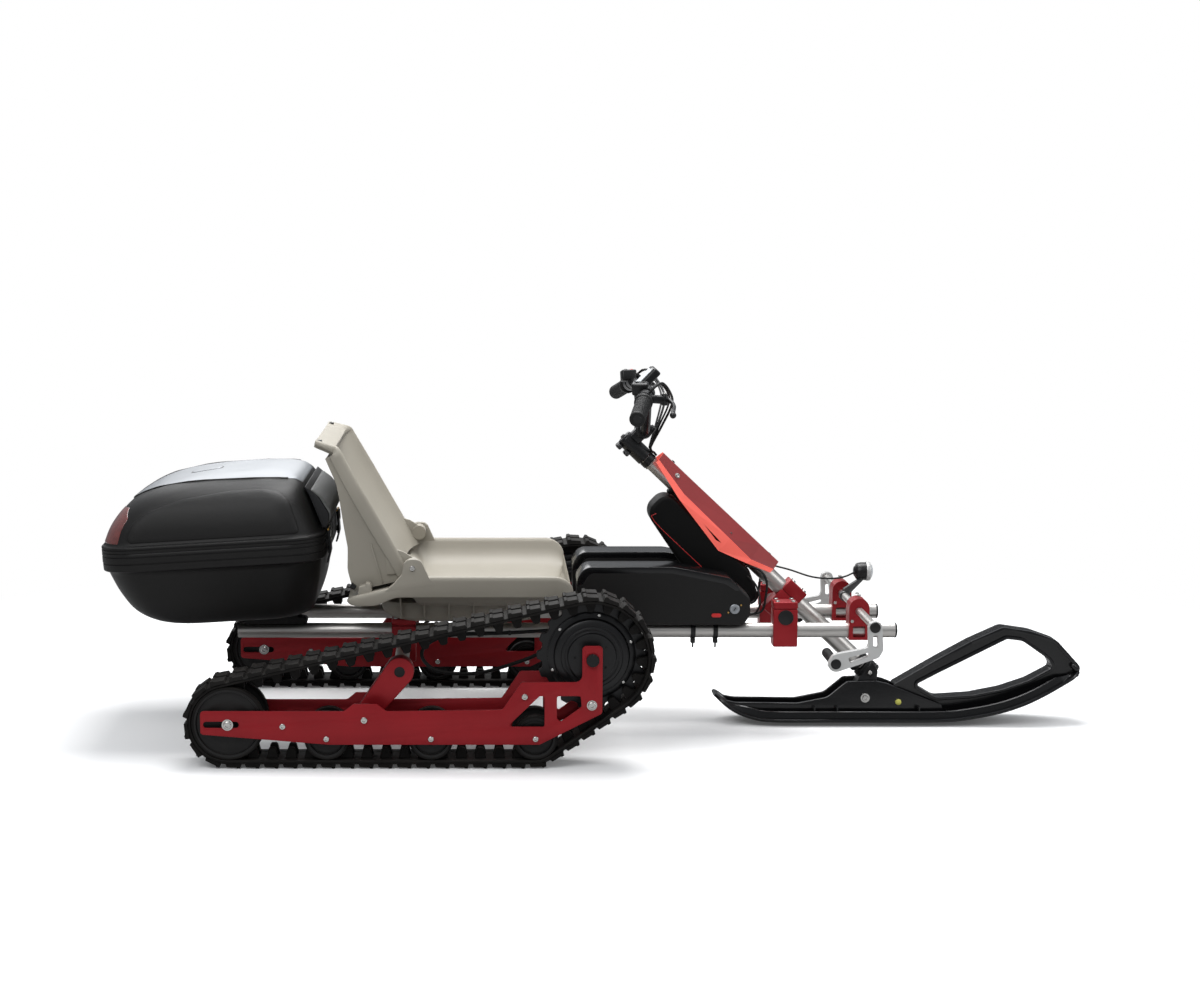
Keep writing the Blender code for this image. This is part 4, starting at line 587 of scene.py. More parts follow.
def build_spool(name, node, x, z, middle, radius, hub):
    """Two discs with rubber tyres on a hub, and a bearing tube out to the plates."""
    axis = (0, 1, 0)
    shape = bmesh.new()
    web = 0.0415
    add(shape, lathe(both_ways([(0, 0.0527), (0.0115, 0.0527), (0.012, 0.0522), (0.012, web + 0.004),
        (0.016, web + 0.001), (0.018, web), (radius * 0.55, web), (radius * 0.6, web + 0.0008),
        (radius * 0.7, web + 0.0008), (radius * 0.74, web), (radius - 0.011, web), (radius - 0.0095, 0.047),
        (radius - 0.0055, 0.0478), (radius - 0.005, 0.032), (hub + 0.004, 0.0312), (hub, 0.029)]), (x, middle, z),
        axis, 72))
    for hand in (-1, 1):
        add(shape, lathe([(radius - 0.006, 0.031), (radius - 0.001, 0.0308), (radius, 0.0318), (radius, 0.0468),
            (radius - 0.0012, 0.0483), (radius - 0.004, 0.0485), (radius - 0.006, 0.0475)], (x, middle, z),
            (0, hand, 0), 72, closed=True), 1)
    piece(name, shape, ["wheel", "rubber"], "chassis", [node])


def build_drive(side, word):
    """Hub motor with its flanges, the toothed ring between them, bolts, axle and nuts."""
    x, z, radius = DRIVE
    middle = side * GAUGE / 2
    axis = (0, 1, 0)
    shape = bmesh.new()
    teeth = 18
    outline = []
    tip = radius - RUN
    for tooth in range(teeth):
        for share, reach in ((-0.36, tip - 0.009), (-0.3, tip - 0.0075), (-0.2, tip - 0.001), (-0.16, tip),
                (0.16, tip), (0.2, tip - 0.001), (0.3, tip - 0.0075), (0.36, tip - 0.009)):
            angle = (tooth + share) * 2 * math.pi / teeth
            outline.append((x + reach * math.cos(angle), z + reach * math.sin(angle)))
    add(shape, prism([outline, circle(x, z, 0.08, 48)], middle - 0.005, middle + 0.005, 0.0007, 1))
    add(shape, lathe(both_ways([(0, 0.031), (0.02, 0.031), (0.0485, 0.0306), (0.049, 0.03), (0.049, 0.0262),
        (0.05, 0.024), (0.053, 0.0228), (0.0545, 0.0228), (0.056, 0.0238), (0.059, 0.0238), (0.06, 0.023),
        (0.062, 0.023), (0.063, 0.0246), (0.0735, 0.024), (0.0752, 0.0228), (0.0758, 0.013), (0.0775, 0.0105),
        (0.08, 0.01), (0.088, 0.0098), (0.0895, 0.0085), (0.0895, 0.005)]), (x, middle, z), axis, 96))
    for hand in (-1, 1):
        for number in range(6):
            angle = math.radians(20 + 60 * number)
            place = (x + 0.0845 * math.cos(angle), middle + hand * 0.0098, z + 0.0845 * math.sin(angle))
            add(shape, bolt(place, (0, hand, 0), 0.0034, height=0.0026), 1)
        start = middle + hand * 0.031
        add(shape, lathe([(0.0073, 0), (0.0073, 0.0274), (0.013, 0.0274), (0.013, 0.0335), (0.0122, 0.0352),
            (0, 0.0355)], (x, start, z), (0, hand, 0), 40), 2)
        for number in range(5):
            angle = math.radians(36 + 72 * number)
            place = (x + 0.0345 * math.cos(angle), middle + hand * 0.0306, z + 0.0345 * math.sin(angle))
            add(shape, bolt(place, (0, hand, 0), 0.0026, height=0.0016), 2)
    piece(f"drive_{word}", shape, ["black_metal", "steel", "soft_rubber"], "chassis", [f"drive_wheel_{word}"])


def plate_loops():
    wheel_z = WHEELS[0][1]
    low = wheel_z - 0.012
    idler_z = IDLER[1]
    top = idler_z + 0.028
    first, last = WHEELS[0][0], WHEELS[-1][0]
    px, pz = PIVOT
    dx, dz = DRIVE[:2]
    outline = rounded([(IDLER[0] - 0.055, top, 0.007), (px - 0.04, top, 0.012), (px - 0.022, pz + 0.033, 0.008),
        (px + 0.026, pz + 0.033, 0.008), (px + 0.045, top, 0.012), (last - 0.067, top + 0.003, 0.006),
        (last - 0.029, dz - 0.045, 0.008), (dx - 0.021, dz - 0.045, 0.014), (dx - 0.021, dz + 0.029, 0.008),
        (dx + 0.02, dz + 0.029, 0.008), (dx + 0.02, dz - 0.109, 0.008), (last + 0.008, low, 0.006),
        (first + 0.006, low, 0.006), (IDLER[0] - 0.055, idler_z - 0.02, 0.007)])
    slot = rounded([(IDLER[0] - 0.049, idler_z - 0.0065, 0.0062), (IDLER[0] + 0.023, idler_z - 0.0065, 0.0062),
        (IDLER[0] + 0.023, idler_z + 0.0065, 0.0062), (IDLER[0] - 0.049, idler_z + 0.0065, 0.0062)])
    rear = rounded([(last - 0.057, low + 0.037, 0.004), (last + 0.008, low + 0.1, 0.004),
        (last + 0.018, low + 0.1, 0.004), (last + 0.018, low + 0.037, 0.004)])
    front = rounded([(last + 0.043, low + 0.1, 0.004), (dx - 0.024, low + 0.1, 0.004),
        (dx - 0.022, low + 0.078, 0.004), (last + 0.05, low + 0.047, 0.004), (last + 0.043, low + 0.054, 0.004)])
    return [outline, slot, rear, front, circle(dx, dz, 0.0078)]


PLATE_BOLTS = (
    # X, Z, head radius, washer radius
    (-0.773, 0.0927, 0.0082, 0.0118), (-0.662, 0.0897, 0.0062, 0), (-0.574, 0.0637, 0.006, 0),
    (-0.4975, 0.1025, 0.0068, 0), (-0.363, 0.0637, 0.006, 0), (-0.152, 0.0637, 0.006, 0),
    (-0.174, 0.1507, 0.0064, 0), (-0.0386, 0.133, 0.008, 0.0105),
)


def build_plates(side, word):
    loops = plate_loops()
    for kind, sign in (("outer", 1), ("inner", -1)):
        middle = side * (GAUGE / 2 + sign * PLATE_MIDDLE)
        half = PLATE_THICK / 2
        shape = bmesh.new()
        add(shape, prism(loops, middle - half, middle + half, 0.0007, 2))
        face = middle + side * sign * half
        for x, z, radius, washer in PLATE_BOLTS:
            add(shape, bolt((x, face, z), (0, side * sign, 0), radius, washer), 1)
        if kind == "inner":
            for x, z in SPACERS:
                near = side * (GAUGE / 2 - PLATE_MIDDLE + half)
                far = side * (GAUGE / 2 + PLATE_MIDDLE - half - 0.0003)
                add(shape, lathe([(0, 0), (0.0085, 0), (0.0085, abs(far - near)), (0, abs(far - near))],
                    (x, near, z), (0, side, 0), 28), 1)
        piece(f"plate_{kind}_{word}", shape, ["anodised", "steel"], "chassis", [f"{kind}_plate_{word}"])


def build_arm(side, word):
    high, low = Vector(AXLE_TUBE), Vector(PIVOT)
    along = high - low
    heading = math.atan2(along.y, along.x)
    lean = math.asin((0.029 - 0.0215) / along.length)
    outline = []
    for centre, radius, start, sweep in ((high, 0.029, heading - math.pi / 2 - lean, math.pi + 2 * lean),
            (low, 0.0215, heading + math.pi / 2 + lean, math.pi - 2 * lean)):
        for step in range(25):
            angle = start + sweep * step / 24
            outline.append(centre + radius * Vector((math.cos(angle), math.sin(angle))))
    middle = side * GAUGE / 2
    shape = bmesh.new()
    add(shape, prism([outline], middle - 0.018, middle + 0.018, 0.0016, 3))
    for hand in (-1, 1):
        face = middle + hand * 0.018
        if hand == side:
            add(shape, lathe([(0, 0.0016), (0.0098, 0.0016), (0.0108, 0.001), (0.0108, -0.002), (0, -0.002)],
                (high.x, face, high.y), (0, hand, 0), 40), 1)
        add(shape, lathe([(0.0098, 0), (0.0125, 0), (0.0125, 0.0008), (0.0098, 0.0008)], (low.x, face, low.y),
            (0, hand, 0), 32, closed=True), 2)
    piece(f"arm_{word}", shape, ["anodised", "soft_rubber", "steel"], "chassis", [f"swing_arm_{word}"])


def build_tracks():
    for side, word in SIDES:
        middle = side * GAUGE / 2
        build_belt(side, word)
        build_drive(side, word)
        build_plates(side, word)
        build_spool(f"idler_{word}", f"rear_idler_{word}", IDLER[0], IDLER[1], middle, IDLER[2], 0.046)
        for number, (x, z) in enumerate(WHEELS, 1):
            build_spool(f"wheel_{word}_{number}", f"road_wheel_{word}_{number}", x, z, middle, WHEEL_RADIUS, 0.018)
        build_arm(side, word)


# Tube frame and clamps

def tube_shape(start, end, radius, wall=0.0022, sides=48):
    """An open-ended tube with its wall seen at both ends."""
    start, end = Vector(start), Vector(end)
    length = (end - start).length
    chamfer = 0.0005
    return lathe([(radius - wall, 0), (radius - chamfer, 0), (radius, chamfer), (radius, length - chamfer),
        (radius - chamfer, length), (radius - wall, length)], start, end - start, sides, closed=True)


def end_cap(place, axis, radius, proud=0.003):
    """A moulded cap pushed into a tube."""
    return lathe([(0, proud), (radius * 0.8, proud), (radius * 0.97, proud * 0.7), (radius, proud * 0.35),
        (radius, 0), (radius * 0.8, -0.004), (0, -0.004)], place, axis, 40)


def build_frame():
    for side, word in SIDES:
        y = side * FRAME_HALF
        shape = bmesh.new()
        add(shape, tube_shape((-0.784, y, FRAME_Z), (0.63, y, FRAME_Z), FRAME_RADIUS))
        add(shape, end_cap((0.63, y, FRAME_Z), (1, 0, 0), FRAME_RADIUS + 0.0003, 0.0042), 1)
        add(shape, end_cap((-0.7815, y, FRAME_Z), (-1, 0, 0), FRAME_RADIUS - 0.0024, 0.002), 1)
        piece(f"long_tube_{word}", shape, ["aluminium", "plastic"], "chassis", [f"frame_tube_{word}"])
    x, z, radius = CROSS
    shape = bmesh.new()
    add(shape, tube_shape((x, -0.1395, z), (x, 0.1395, z), radius))
    for hand in (-1, 1):
        add(shape, end_cap((x, hand * 0.1385, z), (0, hand, 0), 0.0165, 0.0033), 1)
    piece("cross_tube", shape, ["aluminium", "plastic"], "chassis", ["front_cross_tube"])
    shape = bmesh.new()
    add(shape, tube_shape((AXLE_TUBE[0], -0.406, AXLE_TUBE[1]), (AXLE_TUBE[0], 0.406, AXLE_TUBE[1]), 0.015))
    piece("rear_tube", shape, ["aluminium"], "chassis", ["axle_tube"])


def split_block(size, centre, turn, seam):
    """A clamp's two halves with a fine gap at a height above the block's foot, and four bolts in its top."""
    width, depth, height = size
    gap = 0.0007
    centre = Vector(centre)
    turn = turn or Matrix.Identity(3)
    shape = bmesh.new()
    for low, high in ((0, seam - gap / 2), (seam + gap / 2, height)):
        middle = centre + turn @ Vector((0, 0, (low + high - height) / 2))
        add(shape, box_shape((width, depth, high - low), middle, turn, 0.0028, 2))
    core = centre + turn @ Vector((0, 0, seam - height / 2))
    add(shape, box_shape((width - 0.006, depth - 0.006, 0.004), core, turn))
    up = turn @ Vector((0, 0, 1))
    for u in (-1, 1):
        for v in (-1, 1):
            place = centre + turn @ Vector((u * (width / 2 - 0.009), v * (depth / 2 - 0.008), height / 2))
            add(shape, bolt(place, up, 0.0046, height=0.0032), 1)
    return shape


def build_clamps():
    low_front, high_front = FRAME_Z - 0.033, CROSS[1] + 0.033
    low_rear, high_rear = AXLE_TUBE[1] - 0.033, FRAME_Z + 0.028
    for side, word in SIDES:
        y = side * FRAME_HALF
        for name, x, low, high in (("front_clamp", CROSS[0], low_front, high_front),
                ("rear_clamp", AXLE_TUBE[0], low_rear, high_rear)):
            height = high - low
            shape = split_block((0.052, 0.047, height), (x, y, (low + high) / 2), None, height - 0.015)
            piece(f"{name}_block_{word}", shape, ["anodised", "steel"], "chassis", [f"{name}_{word}"])
    low, high = -0.059, 0.0285
    turn = Matrix.Rotation(RAKE, 3, "Y")
    shape = split_block((0.05, 0.047, high - low), column_point(0, (low + high) / 2), turn, 0.059)
    piece("head_clamp_block", shape, ["anodised", "steel"], "chassis", ["head_clamp"])


# Column, fairing and batteries

def column_point(along, above=0, y=0):
    return COLUMN + AHEAD_DOWN * along + AHEAD_UP * above + Vector((0, y, 0))


def build_column():
    up = -AHEAD_DOWN
    shape = bmesh.new()
    add(shape, tube_shape(column_point(0.222), column_point(-0.345), 0.0185, 0.0034))
    piece("head_tube_shell", shape, ["aluminium"], "chassis", ["head_tube"])
    shape = bmesh.new()
    add(shape, lathe([(0.0146, 0), (0.0215, 0), (0.0222, 0.001), (0.0222, 0.0075), (0.0205, 0.01), (0.0146, 0.01)],
        column_point(-0.3455), up, 48, closed=True))
    add(shape, lathe([(0.0188, 0), (0.0228, 0), (0.0238, 0.0012), (0.0238, 0.013), (0.0222, 0.016), (0.019, 0.016)],
        column_point(0.2215), up, 48, closed=True))
    piece("headset_cups", shape, ["soft_rubber"], "chassis")

    shape = bmesh.new()
    length = 0.726
    add(shape, lathe([(0, 0), (0.0142, 0), (0.0142, length - 0.0006), (0.0136, length), (0.0112, length),
        (0.0112, length - 0.02), (0, length - 0.02)], column_point(0.226), up, 48))
    for low, high, radius, slot in ((-0.424, -0.42, 0.0166, 0), (-0.4385, -0.425, 0.0178, 1)):
        add(shape, lathe([(0, 0), (radius - 0.0008, 0), (radius, 0.0008), (radius, high - low - 0.0008),
            (radius - 0.0008, high - low), (0, high - low)], column_point(high), up, 44), slot)
    piece("steerer_tube", shape, ["aluminium", "black_metal"], "steering", ["steerer"])


def build_stem():
    up = -AHEAD_DOWN
    clamp = column_point(*BAR_CLAMP)
    shape = bmesh.new()
    add(shape, lathe([(0, 0), (0.018, 0), (0.0195, 0.0014), (0.0195, 0.06), (0.0183, 0.063), (0.017, 0.0636),
        (0.0168, 0.0655), (0.015, 0.067), (0, 0.067)], column_point(-0.44), up, 56))
    add(shape, bolt(column_point(-0.507), up, 0.0055), 1)
    turn = Matrix.Rotation(RAKE, 3, "Y")
    add(shape, box_shape((0.029, 0.03, 0.04), clamp - AHEAD_UP * 0.0205, turn, 0.005, 3))
    add(shape, lathe([(0, -0.026), (0.0162, -0.026), (0.018, -0.0246), (0.018, -0.0125), (0.0168, -0.0115),
        (0.0168, 0.0115), (0.018, 0.0125), (0.018, 0.0246), (0.0162, 0.026), (0, 0.026)], clamp, (0, 1, 0), 48))
    for side in (-1, 1):
        for ahead in (-1, 1):
            place = clamp + Vector((0, side * 0.0185, 0)) + AHEAD_UP * 0.0135 + AHEAD_DOWN * ahead * 0.0125
            add(shape, lathe([(0, 0.006), (0.005, 0.006), (0.0056, 0.005), (0.0056, -0.016), (0, -0.016)], place,
                AHEAD_UP, 24))
            add(shape, bolt(place + AHEAD_UP * 0.0058, AHEAD_UP, 0.0038, height=0.0028), 1)
    for along in (-0.5, -0.478):
        place = column_point(along, -0.0205)
        add(shape, box_shape((0.013, 0.03, 0.012), place, turn, 0.003, 2))
        for side in (-1, 1):
            add(shape, bolt(place + Vector((0, side * 0.015, 0)), (0, side, 0), 0.0046, height=0.0034), 1)
    piece("stem_body", shape, ["black_metal", "dark_steel"], "steering", ["stem"])


def bar_points():
    """Half of the handlebar's route, then the grip's two ends."""
    clamp = column_point(*BAR_CLAMP)
    x, z = clamp.x, clamp.z
    inner = Vector((x - 0.017, 0.235, z + 0.081))
    outer = Vector((x - 0.038, 0.347, z + 0.055))
    run = outer - inner
    half = [(x, 0.018, z), (x, 0.03, z), (x, 0.044, z + 0.003), (x, 0.062, z + 0.014), (x - 0.002, 0.115, z + 0.07),
        (x - 0.005, 0.15, z + 0.0885), inner - run * 0.38, inner - run * 0.29, inner, outer]
    return half, inner, outer


def build_bar():
    half, inner, outer = bar_points()
    route = [(x, -y, z) for x, y, z in reversed(half)] + half
    piece("bar", pipe(smooth_route(route, 0.012), 0.011, 24), ["black_metal"], "steering", ["handlebar"])
    run = (outer - inner).length
    for side, word in SIDES:
        mirror = Vector((1, side, 1))
        start = inner * mirror
        along = ((outer - inner) * mirror).normalized()
        profile = [(0, run + 0.004), (0.0105, run + 0.004), (0.015, run + 0.0032), (0.0165, run + 0.0012)]
        place = run - 0.004
        while place > 0.018:
            profile += [(0.0165, place), (0.0156, place - 0.0007), (0.0156, place - 0.0021), (0.0165, place - 0.0028)]
            place -= 0.0052
        profile += [(0.0165, 0.0125), (0.0188, 0.011), (0.0195, 0.0095), (0.0195, 0.003), (0.0185, 0.002),
            (0.0112, 0.002), (0.0112, 0)]
        shape = bmesh.new()
        add(shape, lathe(profile, start, along, 56))
        add(shape, lathe([(0, 0.0012), (0.0085, 0.001), (0.0092, 0), (0, 0)], start + along * (run + 0.004), along,
            40), 1)
        piece(f"grip_rubber_{word}", shape, ["soft_rubber", "plastic"], "steering", [f"grip_{word}"])

        perch = start - along * 0.022
        shape = bmesh.new()
        add(shape, lathe(band(0.0112, 0.0165, 0.01, 0.001, 0.001), perch, along, 44, closed=True))
        aim = Vector((1, 0, -0.06)).normalized()
        turn = Matrix.Rotation(math.radians(4), 3, "Y")
        add(shape, box_shape((0.03, 0.02, 0.017), perch + aim * 0.024 + Vector((0, side * 0.002, 0)), turn, 0.004, 3),
            0)
        pin = perch + Vector((0.041, side * 0.004, -0.002))
        add(shape, lathe(band(0, 0.0068, 0.012, 0.001, 0.0008), pin, (0, 0, 1), 28))
        add(shape, bolt(perch + Vector((0.041, side * 0.004, 0.0098)), (0, 0, 1), 0.0045, height=0.0028), 1)
        blade = smooth_route([perch + Vector((0.036, 0, -0.002)), perch + Vector((0.05, side * 0.01, -0.003)), perch
            + Vector((0.057, side * 0.04, -0.012)), perch + Vector((0.052, side * 0.08, -0.021)), perch
            + Vector((0.05, side * 0.1, -0.026))], 0.006)
        radii = [0.0056 - 0.0016 * math.sin(math.pi * i / (len(blade) - 1)) for i in range(len(blade))]
        add(shape, pipe(blade, radii, 16))
        add(shape, lathe([(0, 0.0068), (0.004, 0.0056), (0.0066, 0.002), (0.0066, -0.002), (0.004, -0.0056),
            (0, -0.0068)], blade[-1], (0.1, side, -0.25), 24))
        piece(f"brake_{word}", shape, ["black_metal", "steel"], "steering", [f"lever_{word}"])

        pod = perch - along * 0.03
        turn = along.to_track_quat("Y", "Z").to_matrix()
        shape = bmesh.new()
        add(shape, lathe(band(0.0112, 0.0172, 0.011, 0.0012, 0.0014), pod, along, 44, closed=True))
        add(shape, box_shape((0.034, 0.024, 0.026), pod + Vector((-0.013, 0, 0.012)), turn, 0.004, 3))
        for index, colour in enumerate((1, 2) if side > 0 else (1, 1)):
            place = pod + Vector((-0.02 + 0.013 * index, 0, 0.0245))
            add(shape, lathe([(0, 0.0025), (0.003, 0.0024), (0.0042, 0.0014), (0.0042, 0), (0, 0)], place,
                (-0.1, 0, 1), 24), colour)
        piece(f"switch_pod_{word}", shape, ["plastic", "soft_rubber", "red_mark"], "steering")


def build_display():
    clamp = column_point(*BAR_CLAMP)
    middle = Vector((clamp.x + 0.006, 0, clamp.z + 0.11))
    turn = Matrix.Rotation(math.radians(-46), 3, "Y")
    face = turn @ Vector((0, 0, 1))
    shape = bmesh.new()
    add(shape, box_shape((0.062, 0.088, 0.018), middle - face * 0.001, turn, 0.0042, 4))
    add(shape, box_shape((0.055, 0.08, 0.0036), middle + face * 0.008, turn, 0.0015, 2), 1)
    add(shape, box_shape((0.044, 0.066, 0.001), middle + face * 0.0098, turn, 0.0003, 1), 2)
    low = Vector((clamp.x + 0.002, 0, clamp.z + 0.0175))
    top = middle + Vector((0.004, 0, -0.004))
    add(shape, pipe([low, low.lerp(top, 0.5), top], [0.0078, 0.007, 0.008], 24))
    for side in (-1, 1):
        place = Vector((clamp.x, side * 0.034, clamp.z + 0.003))
        add(shape, lathe(band(0.0112, 0.0158, 0.006, 0.001, 0.0008), place, (0, 1, 0), 40, closed=True))
    piece("display_unit", shape, ["plastic", "gloss", "screen"], "steering", ["display"])


def build_cables():
    _, inner, outer = bar_points()
    axis = (outer - inner).normalized()
    perch = inner - axis * 0.022
    leave = Vector((0.6, 0, 0.8))
    leave = (leave - axis * leave.dot(axis)).normalized()
    shape = bmesh.new()
    for side in (-1, 1):
        for shift, radius in ((0, 0.0026), (0.0052, 0.0021)):
            mirror = Vector((1, side, 1))
            start = (perch - axis * shift * 0.9) * mirror
            out = leave * mirror
            route = [start + out * 0.0166, start + out * 0.026, perch * mirror
                + Vector((0.037 - shift, -side * 0.012, 0.031)), Vector((0.14 - shift, side * 0.15, 0.735)),
                Vector((0.146 - shift * 1.4, side * 0.085, 0.705)), Vector((0.128 - shift, side * (0.04 - shift),
                0.655)), Vector((0.108, side * (0.012 + shift * 0.6), 0.608 - shift * 0.3)),
                column_point(-0.434, 0.0215, side * (0.0026 + shift)), column_point(-0.427, 0.0205, side
                * (0.002 + shift))]
            add(shape, pipe(smooth_route(route, 0.01), radius, 14))
    piece("cable_bundle", shape, ["soft_rubber"], "steering", ["control_cables"])


def build_fairing_trim():
    """Screws and rivets of the folded sheet, which itself is the CAD piece."""
    shape = bmesh.new()
    for side in (-1, 1):
        out = (AHEAD_UP * 0.717 + Vector((0, side * 0.697, 0))).normalized()
        add(shape, bolt(column_point(-0.3663, 0.0203, side * 0.03), out, 0.0045, 0.0062, 0.0028))
        out = (AHEAD_UP * 0.76 + Vector((0, side * 0.65, 0))).normalized()
        add(shape, lathe([(0, 0.0008), (0.0018, 0.0006), (0.0022, 0), (0, 0)],
            column_point(-0.1963, 0.0123, side * 0.0477), out, 18), 1)
    for along in (-0.39, -0.095):
        add(shape, bolt(column_point(along, 0.0355), AHEAD_UP, 0.004, height=0.0024), 1)
    piece("fairing_screws", shape, ["steel", "dark_steel"], "chassis")


def build_batteries():
    top = -0.0188
    corners = [(-0.362, top, 0.03), (-0.11, top, 0.02), (-0.05, -0.048, 0.02), (-0.075, -0.128, 0.02),
        (-0.235, -0.112, 0.04), (-0.362, -0.084, 0.03)]
    outline = [(p.x, p.z) for p in (column_point(a, n) for a, n in rounded(corners, 9))]
    shape = bmesh.new()
    add(shape, prism([outline], -0.045, 0.045, 0.0085, 4))
    line = [(-0.344, -0.07), (-0.335, -0.085), (-0.188, -0.086)]
    for side in (-1, 1):
        route = [column_point(a, n, side * 0.0451) for a, n in line]
        add(shape, pipe(smooth_route(route, 0.008), 0.0007, 8), 1)
    piece("column_pack", shape, ["deep_black", "red_mark"], "chassis", ["column_battery"])

    low = FRAME_Z + FRAME_RADIUS + 0.0003
    corners = [(-0.056, low, 0.006), (-0.056, low + 0.1, 0.02), (-0.04, low + 0.126, 0.03),
        (0.15, low + 0.126, 0.06), (0.268, low + 0.103, 0.02), (0.314, low + 0.06, 0.015),
        (0.315, low + 0.022, 0.01), (0.3, low, 0.01)]
    outline = rounded(corners, 7)
    cap = rounded([(-0.0564, low + 0.084, 0.001), (-0.0564, low + 0.1002, 0.02), (-0.0402, low + 0.1264, 0.03),
        (0.1502, low + 0.1264, 0.06), (0.2684, low + 0.1034, 0.02), (0.293, low + 0.08, 0.004),
        (0.285, low + 0.073, 0.004), (0.26, low + 0.0895, 0.02), (0.144, low + 0.1125, 0.05),
        (-0.03, low + 0.1125, 0.02), (-0.042, low + 0.09, 0.01)], 6)
    near, far = 0.065, 0.15
    x, z, lock = 0.2808, 0.2762, 0.0105
    button = [(u + 0.2418, v + 0.2625) for u, v in rounded([(hand * 0.0105, up * 0.0042, 0.004) for hand, up
        in ((-1, -1), (1, -1), (1, 1), (-1, 1))], 4)]
    for side, word in SIDES:
        shape = bmesh.new()
        add(shape, slab(outline, side, near, far, 0.0088, 5))
        add(shape, slab(cap, side, near - 0.0006, far + 0.0006, 0.008, 4), 1)
        face = side * far
        add(shape, lathe([(0, 0.0012), (lock * 0.42, 0.0012), (lock * 0.46, 0.0026), (lock * 0.85, 0.0026),
            (lock, 0.0014), (lock, -0.001), (0, -0.001)], (x, face, z), (0, side, 0), 40), 2)
        add(shape, box_shape((0.0016, 0.003, 0.0075), (x, face + side * 0.001, z), Matrix.Rotation(0.6, 3, "Y")), 3)
        for u, v in ((-0.0135, -0.0075), (0.0135, 0.0085)):
            add(shape, bolt((x + u, face - side * 0.0002, z + v), (0, side, 0), 0.0017, height=0.0012), 5)
        add(shape, slab(button, side, far - 0.001, far + 0.0016, 0.0006), 4)
        for strap in (0.1948, 0.2431):
            y = side * (FRAME_HALF + 0.004)
            add(shape, lathe([(0.0162, -0.0052), (0.018, -0.0046), (0.018, 0.0046), (0.0162, 0.0052)],
                (strap, side * FRAME_HALF, FRAME_Z), (1, 0, 0), 40, closed=True), 3)
            add(shape, box_shape((0.01, 0.013, 0.011), (strap, y, FRAME_Z - 0.0215), None, 0.0018), 3)
            add(shape, box_shape((0.0036, 0.006, 0.014), (strap, y, FRAME_Z - 0.03), None, 0.001, 1), 3)
        piece(f"battery_pack_{word}", shape, ["textured", "gloss", "silver", "plastic", "red_mark", "brass"],
            "chassis", [f"side_battery_{word}"])


# Footrest, lamp and ski

def build_footrest():
    shape = bmesh.new()
    add(shape, tube_shape((REST_X, -0.3255, REST_Z), (REST_X, 0.3255, REST_Z), 0.0085, 0.0015, 36))
    for side in (-1, 1):
        add(shape, end_cap((REST_X, side * 0.3262, REST_Z), (0, side, 0), 0.0112, 0.0042), 1)
    piece("rest_bar", shape, ["aluminium", "plastic"], "chassis", ["footrest_bar"])
    for side, word in SIDES:
        start = side * (0.319 - 0.0083)
        shape = bmesh.new()
        profile = [(0, 0.11), (0.0078, 0.11), (0.0098, 0.1088), (0.0105, 0.1068)]
        place = 0.104
        while place > 0.014:
            profile += [(0.0105, place), (0.0096, place - 0.0008), (0.0096, place - 0.0024), (0.0105, place - 0.0032)]
            place -= 0.0064
        profile += [(0.0105, 0.0085), (0.0126, 0.0068), (0.013, 0.0058), (0.013, 0), (0, 0)]
        add(shape, lathe(profile, (PEG_X, start, PEG_Z), (0, -side, 0), 44))
        add(shape, end_cap((PEG_X, side * 0.3272, PEG_Z), (0, side, 0), 0.0108, 0.003), 1)
        add(shape, lathe([(0, 0.0008), (0.0138, 0.0008), (0.0142, 0), (0, 0)], (PEG_X, side * 0.327, PEG_Z),
            (0, side, 0), 36), 2)
        piece(f"peg_{word}", shape, ["soft_rubber", "plastic", "cast"], "chassis", [f"foot_peg_{word}"])
        shape = bmesh.new()
        y = side * FRAME_HALF
        for hand in (-1, 1):
            for x in (0.5345, 0.5655):
                add(shape, bolt((x, y + hand * 0.022, 0.2475), (0, hand, 0), 0.0036, height=0.0026))
            add(shape, bolt((0.55, y + hand * 0.0125, 0.3012), (0, 0, 1), 0.004, height=0.0028))
        piece(f"rest_clamp_bolts_{word}", shape, ["steel"], "chassis")


def build_lamp():
    middle = Vector((0.5865, 0.06, 0.3242))
    ahead = (1, 0, 0)
    shape = bmesh.new()
    add(shape, lathe([(0, -0.018), (0.006, -0.018), (0.0098, -0.017), (0.013, -0.014), (0.0165, -0.0125),
        (0.0185, -0.0095), (0.02, -0.001), (0.02, 0.0105), (0, 0.0105)], middle, ahead, 56))
    add(shape, lathe([(0.0172, 0.0095), (0.0206, 0.0095), (0.0212, 0.0108), (0.021, 0.017), (0.0196, 0.019),
        (0.0182, 0.0188), (0.0174, 0.015)], middle, ahead, 56, closed=True), 1)
    add(shape, lathe([(0.0178, 0.013), (0.0178, 0.018), (0.014, 0.0225), (0.0075, 0.0245), (0, 0.025), (0, 0.013)],
        middle, ahead, 48), 2)
    strip = rounded([(0.5465, 0.2735, 0.002), (0.56, 0.2735, 0.004), (0.589, 0.304, 0.002), (0.589, 0.3085, 0.001),
        (0.582, 0.3085, 0.003), (0.5465, 0.285, 0.003)], 4)
    add(shape, prism([strip], 0.0535, 0.0665, 0.0012, 2), 3)
    add(shape, lathe(band(0.0086, 0.0116, 0.009, 0.0008, 0.0006), (REST_X, 0.06, REST_Z), (0, 1, 0), 36,
        closed=True), 3)
    add(shape, bolt((0.584, 0.06, 0.309), (0, 0, 1), 0.005), 4)
    piece("lamp", shape, ["plastic", "cast", "lens", "dark_steel", "steel"], "chassis", ["headlamp"])


